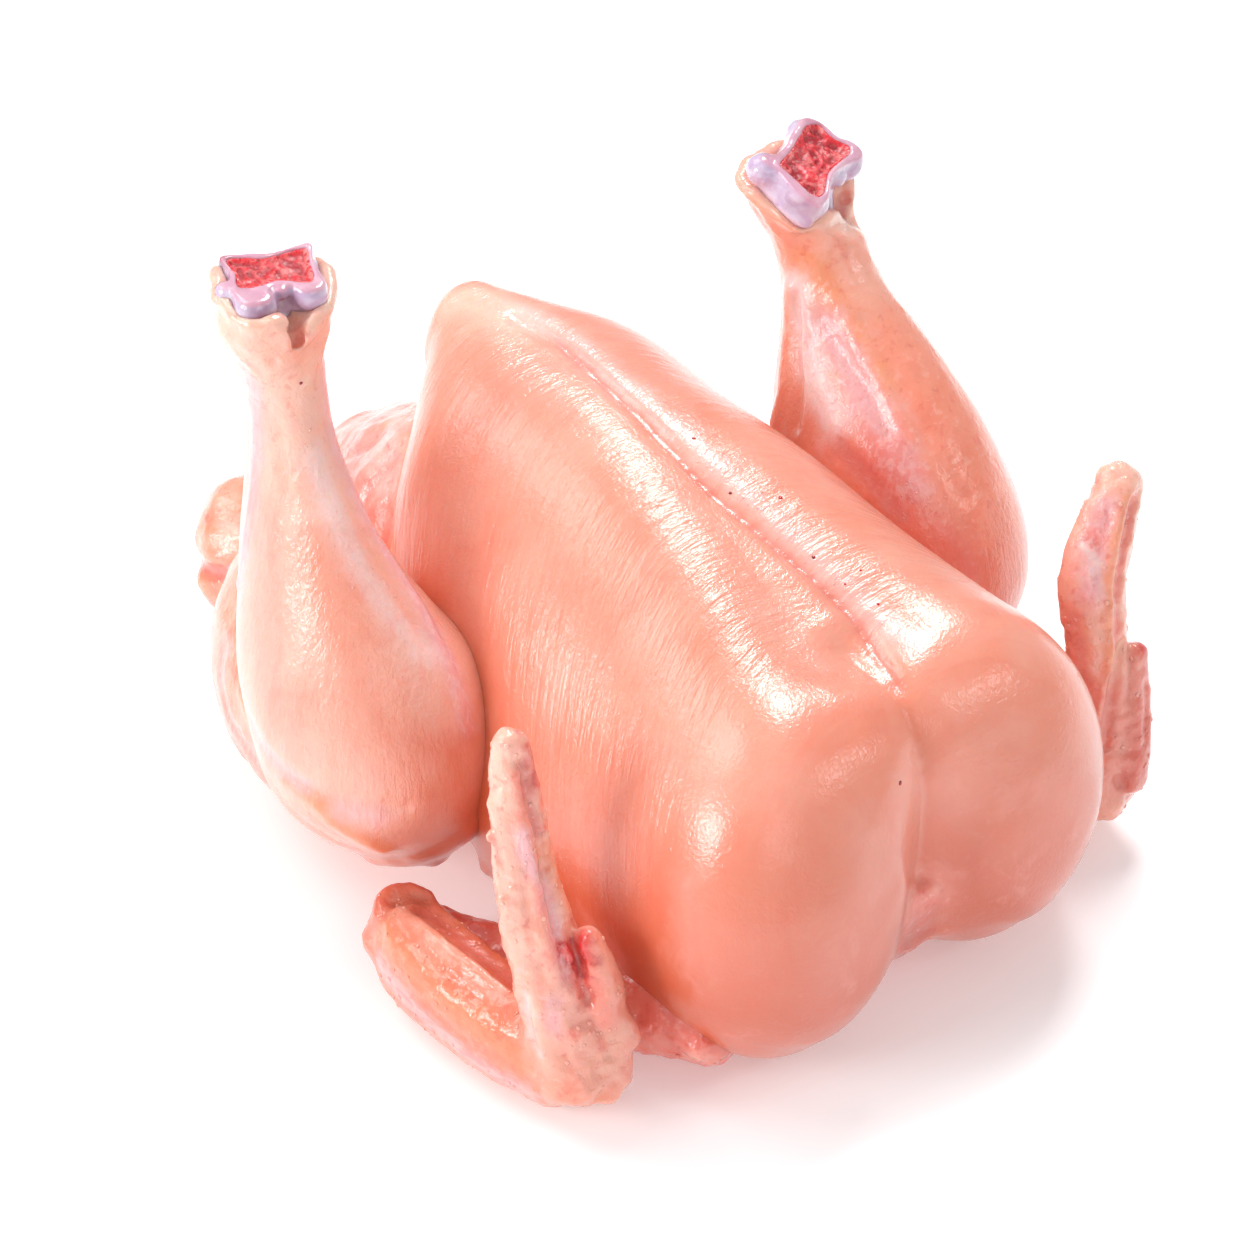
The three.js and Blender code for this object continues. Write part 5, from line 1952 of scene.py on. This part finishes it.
class CHICKEN_OT_legs(bpy.types.Operator):
    """Grow each thigh and drumstick as one skin that is drawn up round its shank"""

    bl_idname = "chicken.legs"
    bl_label = "Legs"

    def execute(self, context):
        look = context.scene.chicken_flesh
        for side, shank in SHANKS.items():
            pose = pose_of(shank)
            field, forms = grow(f"{side}_leg", look.leg_cell / MM)
            draw_up_skin(field, side)
            own = [(posed(path, pose), breadth, height) for path, breadth, height in CUFFS[side]["strokes"]]
            carve(field, forms, [*RELIEF["flesh"], *own], LUMPS["flesh"])
            trim_floor(field)
            open_shank(field, side)

            def touch(points, painted, side=side, pose=pose):
                local = unposed(points, pose)
                rim = bell(reach_to(local, closed_path(CUFFS[side]["rim"])), 2.4)
                painted["tint"] = mix(painted["tint"], seen(PALETTE["cream"]), 0.6 * rim)
                for path, wide in CUFFS[side]["pits"]:
                    deep = bell(reach_to(local, np.array(path, float)), wide * 1.1)
                    painted["tint"] = mix(painted["tint"], seen(PALETTE["rose"]), 0.65 * deep)
                painted["loose"] = np.clip(painted["loose"] + 0.6 * eased((local[:, 2] + 44) / 16), 0, 1)
                painted["grain"] = painted["grain"] * eased((-local[:, 2] - 20) / 16)

            finish_skin(f"{side}_leg", field, forms, look, touch)
        return {"FINISHED"}


class CHICKEN_OT_wings(bpy.types.Operator):
    """Grow each wing as one skin"""

    bl_idname = "chicken.wings"
    bl_label = "Wings"

    def execute(self, context):
        look = context.scene.chicken_flesh
        for side in SHANKS:
            name = f"{side}_wing"
            field, forms = grow(name, look.wing_cell / MM)
            carve(field, forms, RELIEF[name], LUMPS[name])
            trim_floor(field)
            finish_skin(name, field, forms, look)
        return {"FINISHED"}


class CHICKEN_OT_bones(bpy.types.Operator):
    """Add the two shank bones with their cartilage heads"""

    bl_idname = "chicken.bones"
    bl_label = "Shank bones"

    def execute(self, context):
        look = context.scene.chicken_bones
        material = cartilage(look)
        for side, shank in SHANKS.items():
            pose = pose_of(shank)
            hollow, bone = shank_fields(shank_box(shank, look.cell / MM), shank)
            whole = bone.everywhere()
            local = unposed(bone.places(whole), pose)
            for path, wide in shank["slots"]:
                bone.cut(whole, reach_to(local, np.array(path, float)) - wide, 0.6)
            bone.values -= (0.16 * rumple(local, 2.2, 44)).astype(np.float32)
            bone.cut(whole, -local[..., 2] + 0.12 * rumple(local, 2.4, 45), 0.9)
            bone.cut(whole, hollow.values + 0.15 * rumple(local, 1.6, 46), 0.3)
            points, quads = bone.skin()
            piece = mesh_object(f"{side}_bone", points, quads, material)
            own = unposed(points, pose)
            blush = 0.5 * np.clip(rumple(points, 3.6, 42), 0, 1) ** 1.5
            uneven = 1 + 0.3 * rumple(points, 1.6, 43)
            for place, wide in shank["blushes"]:
                spot = bell(np.linalg.norm(own - place, axis=1), wide)
                blush = np.maximum(blush, 0.85 * spot * uneven)
            give(piece.data, "blush", "FLOAT", np.clip(blush, 0, 0.9))
            give(piece.data, "rim", "FLOAT", 0.55 * eased((own[:, 2] + 0.9) / 0.6))
            hand_over(piece, f"{side}_shank_bone")
        return {"FINISHED"}


class CHICKEN_OT_marrow(bpy.types.Operator):
    """Add the marrow that runs through the shank bones and shows at their cut faces"""

    bl_idname = "chicken.marrow"
    bl_label = "Marrow"

    def execute(self, context):
        look = context.scene.chicken_bones
        material = red_marrow(look)
        for side, shank in SHANKS.items():
            pose = pose_of(shank)
            core, _ = shank_fields(shank_box(shank, look.cell / MM), shank)
            whole = core.everywhere()
            core.values -= np.float32(0.12)
            local = unposed(core.places(whole), pose)
            pits = np.clip(0.9 - 2.4 * np.abs(rumple(local * [1, 1, 0.3], 4.2, 51)), 0, 1)
            pores = np.clip(0.8 - 2.2 * np.abs(rumple(local * [1, 1, 0.5], 1.8, 52)), 0, 1)
            away = eased(-core.values / 1.6)
            sunk = 0.1 + look.pits / MM * (1 - 0.75 * np.maximum(pits, pores)) * away
            core.cut(whole, -(local[..., 2] + sunk), 0.2)
            points, quads = core.skin()
            piece = mesh_object(f"{side}_marrow", points, quads, material)
            # Depth below the cut face, which the marrow's finish turns into painted shade.
            give(piece.data, "depth", "FLOAT", np.clip(-unposed(points, pose)[:, 2], 0, 3))
            hand_over(piece, f"{side}_shank_marrow")
        return {"FINISHED"}


class CHICKEN_OT_beads(bpy.types.Operator):
    """Set beads of moisture on the flesh, nubs of skin on the wings, and specks of blood"""

    bl_idname = "chicken.beads"
    bl_label = "Beads, nubs and specks"

    def execute(self, context):
        look = context.scene.chicken_flesh
        tree = domes_tree()
        material = moist_nub(look)

        def moist(points, loose):
            total = np.zeros(len(points))
            for path, breadth, share in BEADS:
                total = np.maximum(total, share * bell(reach_to(points, smooth_path(path)), breadth))
            return total * np.clip(0.4 + rumple(points, 3.0, 61), 0, 1)

        def nubbly(points, loose):
            return loose * np.clip(0.25 + rumple(points, 5.0, 62), 0, 1) * (points[:, 2] > 2)

        beads = patch("moisture_beads", ("trunk", "left_leg", "right_leg"), moist, material)
        set_domes(beads, tree, Density=420000.0, Radius=0.00024, Flatness=0.42, Seed=7, Material=material)
        hand_over(beads, "chicken_flesh")
        nubs = patch("skin_nubs", ("left_wing", "right_wing"), nubbly, material)
        set_domes(nubs, tree, Density=160000.0, Radius=0.00045, Flatness=0.45, Seed=11, Material=material)
        hand_over(nubs, "chicken_flesh")
        hand_over(blood_specks(look), "chicken_flesh")
        return {"FINISHED"}


def blood_specks(look):
    """Flat dark drops laid on the flesh."""
    view = bpy.context.evaluated_depsgraph_get()
    points, faces = [], []
    rings, sides = 5, 12
    ends = math.pi / 2 - 0.2
    swing = np.linspace(-ends, ends, rings)
    angle = np.linspace(0, 2 * math.pi, sides, endpoint=False)
    for k, (place, radius) in enumerate(SPECKS):
        target = Vector((np.array(place) + ORIGIN) * MM)
        best = None
        for name in ("trunk", "left_leg", "right_leg"):
            found, spot, normal, _ = bpy.data.objects[name].evaluated_get(view).closest_point_on_mesh(target)
            if found and (best is None or (spot - target).length < (best[0] - target).length):
                best = (spot, normal)
        spot, normal = best
        turn = normal.to_track_quat("Z", "Y").to_matrix()
        uneven = 1 + 0.18 * np.sin(3 * angle + place[0])
        shape = np.stack(
            [
                np.outer(np.cos(swing), np.cos(angle) * uneven) * radius,
                np.outer(np.cos(swing), np.sin(angle)) * radius,
                np.outer(np.sin(swing), np.ones(sides)) * radius * 0.35,
            ],
            -1,
        ).reshape(-1, 3)
        points.append(shape @ np.array(turn).T + np.array(spot) / MM - ORIGIN)
        first = k * rings * sides
        faces += (ring_quads(rings, sides) + first).tolist()
        faces.append(list(range(first + sides - 1, first - 1, -1)))
        last = first + (rings - 1) * sides
        faces.append(list(range(last, last + sides)))
    piece = listed_object("blood_specks", np.vstack(points), faces, blood_red(look))
    piece.data.polygons.foreach_set("use_smooth", np.ones(len(piece.data.polygons), bool))
    return piece


class CHICKEN_OT_stage(bpy.types.Operator):
    """Add the pale floor, the soft lights and the camera"""

    bl_idname = "chicken.stage"
    bl_label = "Stage"

    def execute(self, context):
        look = context.scene.chicken_stage
        floor = disc("floor", 3.0, pale_floor(look))
        middle = Vector((ORIGIN + MIDDLE) * MM)
        for name, place, width, height, power in LAMPS:
            lamp = bpy.data.lights.new(name, "AREA")
            lamp.shape = "RECTANGLE"
            lamp.size, lamp.size_y = width, height
            lamp.energy = power * look.light
            aim(placed(name, lamp), place, Vector(place) - middle)
        world = bpy.data.worlds.new("soft white room")
        world.use_nodes = True
        background = world.node_tree.nodes["Background"].inputs
        background["Color"].default_value = (1, 1, 1, 1)
        background["Strength"].default_value = look.room
        context.scene.world = world
        context.scene.view_settings.view_transform = "Standard"
        turn, rise = look.azimuth, look.elevation
        back = Vector((math.sin(turn) * math.cos(rise), -math.cos(turn) * math.cos(rise), math.sin(rise)))
        lens = bpy.data.cameras.new("camera")
        lens.sensor_width = 36
        lens.lens = LENS
        lens.clip_start, lens.clip_end = 0.01, 20
        camera = placed("camera", lens)
        aim(camera, middle + back * look.distance, back)
        context.scene.camera = camera
        return {"FINISHED"}


def aim(thing, place, away):
    """Puts a lamp or a camera at a place, with its back to one direction."""
    thing.location = place
    thing.rotation_mode = "QUATERNION"
    thing.rotation_quaternion = away.to_track_quat("Z", "Y")


def disc(name, radius, material, sides=96):
    """A flat round plate at the resting level."""
    mesh = bpy.data.meshes.new(name)
    turns = np.linspace(0, 2 * math.pi, sides, endpoint=False)
    ring = [(radius * math.cos(t), radius * math.sin(t), 0) for t in turns]
    mesh.from_pydata(ring, [], [list(range(sides))])
    mesh.materials.append(material)
    return placed(name, mesh)


class CHICKEN_PT_parts(bpy.types.Panel):
    """Lists the pieces of the bird"""

    bl_label = "Whole raw chicken"
    bl_idname = "CHICKEN_PT_parts"
    bl_space_type = "VIEW_3D"
    bl_region_type = "UI"
    bl_category = "Chicken"

    def draw(self, context):
        column = self.layout.column()
        for operator in OPERATORS:
            column.operator(operator.bl_idname)
        for look in (context.scene.chicken_flesh, context.scene.chicken_bones, context.scene.chicken_stage):
            box = self.layout.box()
            for name in look.__annotations__:
                box.prop(look, name)


OPERATORS = (
    CHICKEN_OT_trunk,
    CHICKEN_OT_legs,
    CHICKEN_OT_wings,
    CHICKEN_OT_bones,
    CHICKEN_OT_marrow,
    CHICKEN_OT_beads,
    CHICKEN_OT_stage,
)
LOOKS = {"chicken_flesh": FleshLook, "chicken_bones": BoneLook, "chicken_stage": StageLook}


def register():
    for look in LOOKS.values():
        bpy.utils.register_class(look)
    for name, look in LOOKS.items():
        setattr(bpy.types.Scene, name, bpy.props.PointerProperty(type=look))
    for operator in OPERATORS:
        bpy.utils.register_class(operator)
    bpy.utils.register_class(CHICKEN_PT_parts)


def unregister():
    bpy.utils.unregister_class(CHICKEN_PT_parts)
    for operator in reversed(OPERATORS):
        bpy.utils.unregister_class(operator)
    for name, look in reversed(LOOKS.items()):
        delattr(bpy.types.Scene, name)
        bpy.utils.unregister_class(look)


def main():
    register()
    bpy.ops.chicken.trunk()
    bpy.ops.chicken.legs()
    bpy.ops.chicken.wings()
    bpy.ops.chicken.bones()
    bpy.ops.chicken.marrow()
    bpy.ops.chicken.beads()
    bpy.ops.chicken.stage()
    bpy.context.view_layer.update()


if __name__ == "__main__":
    main()
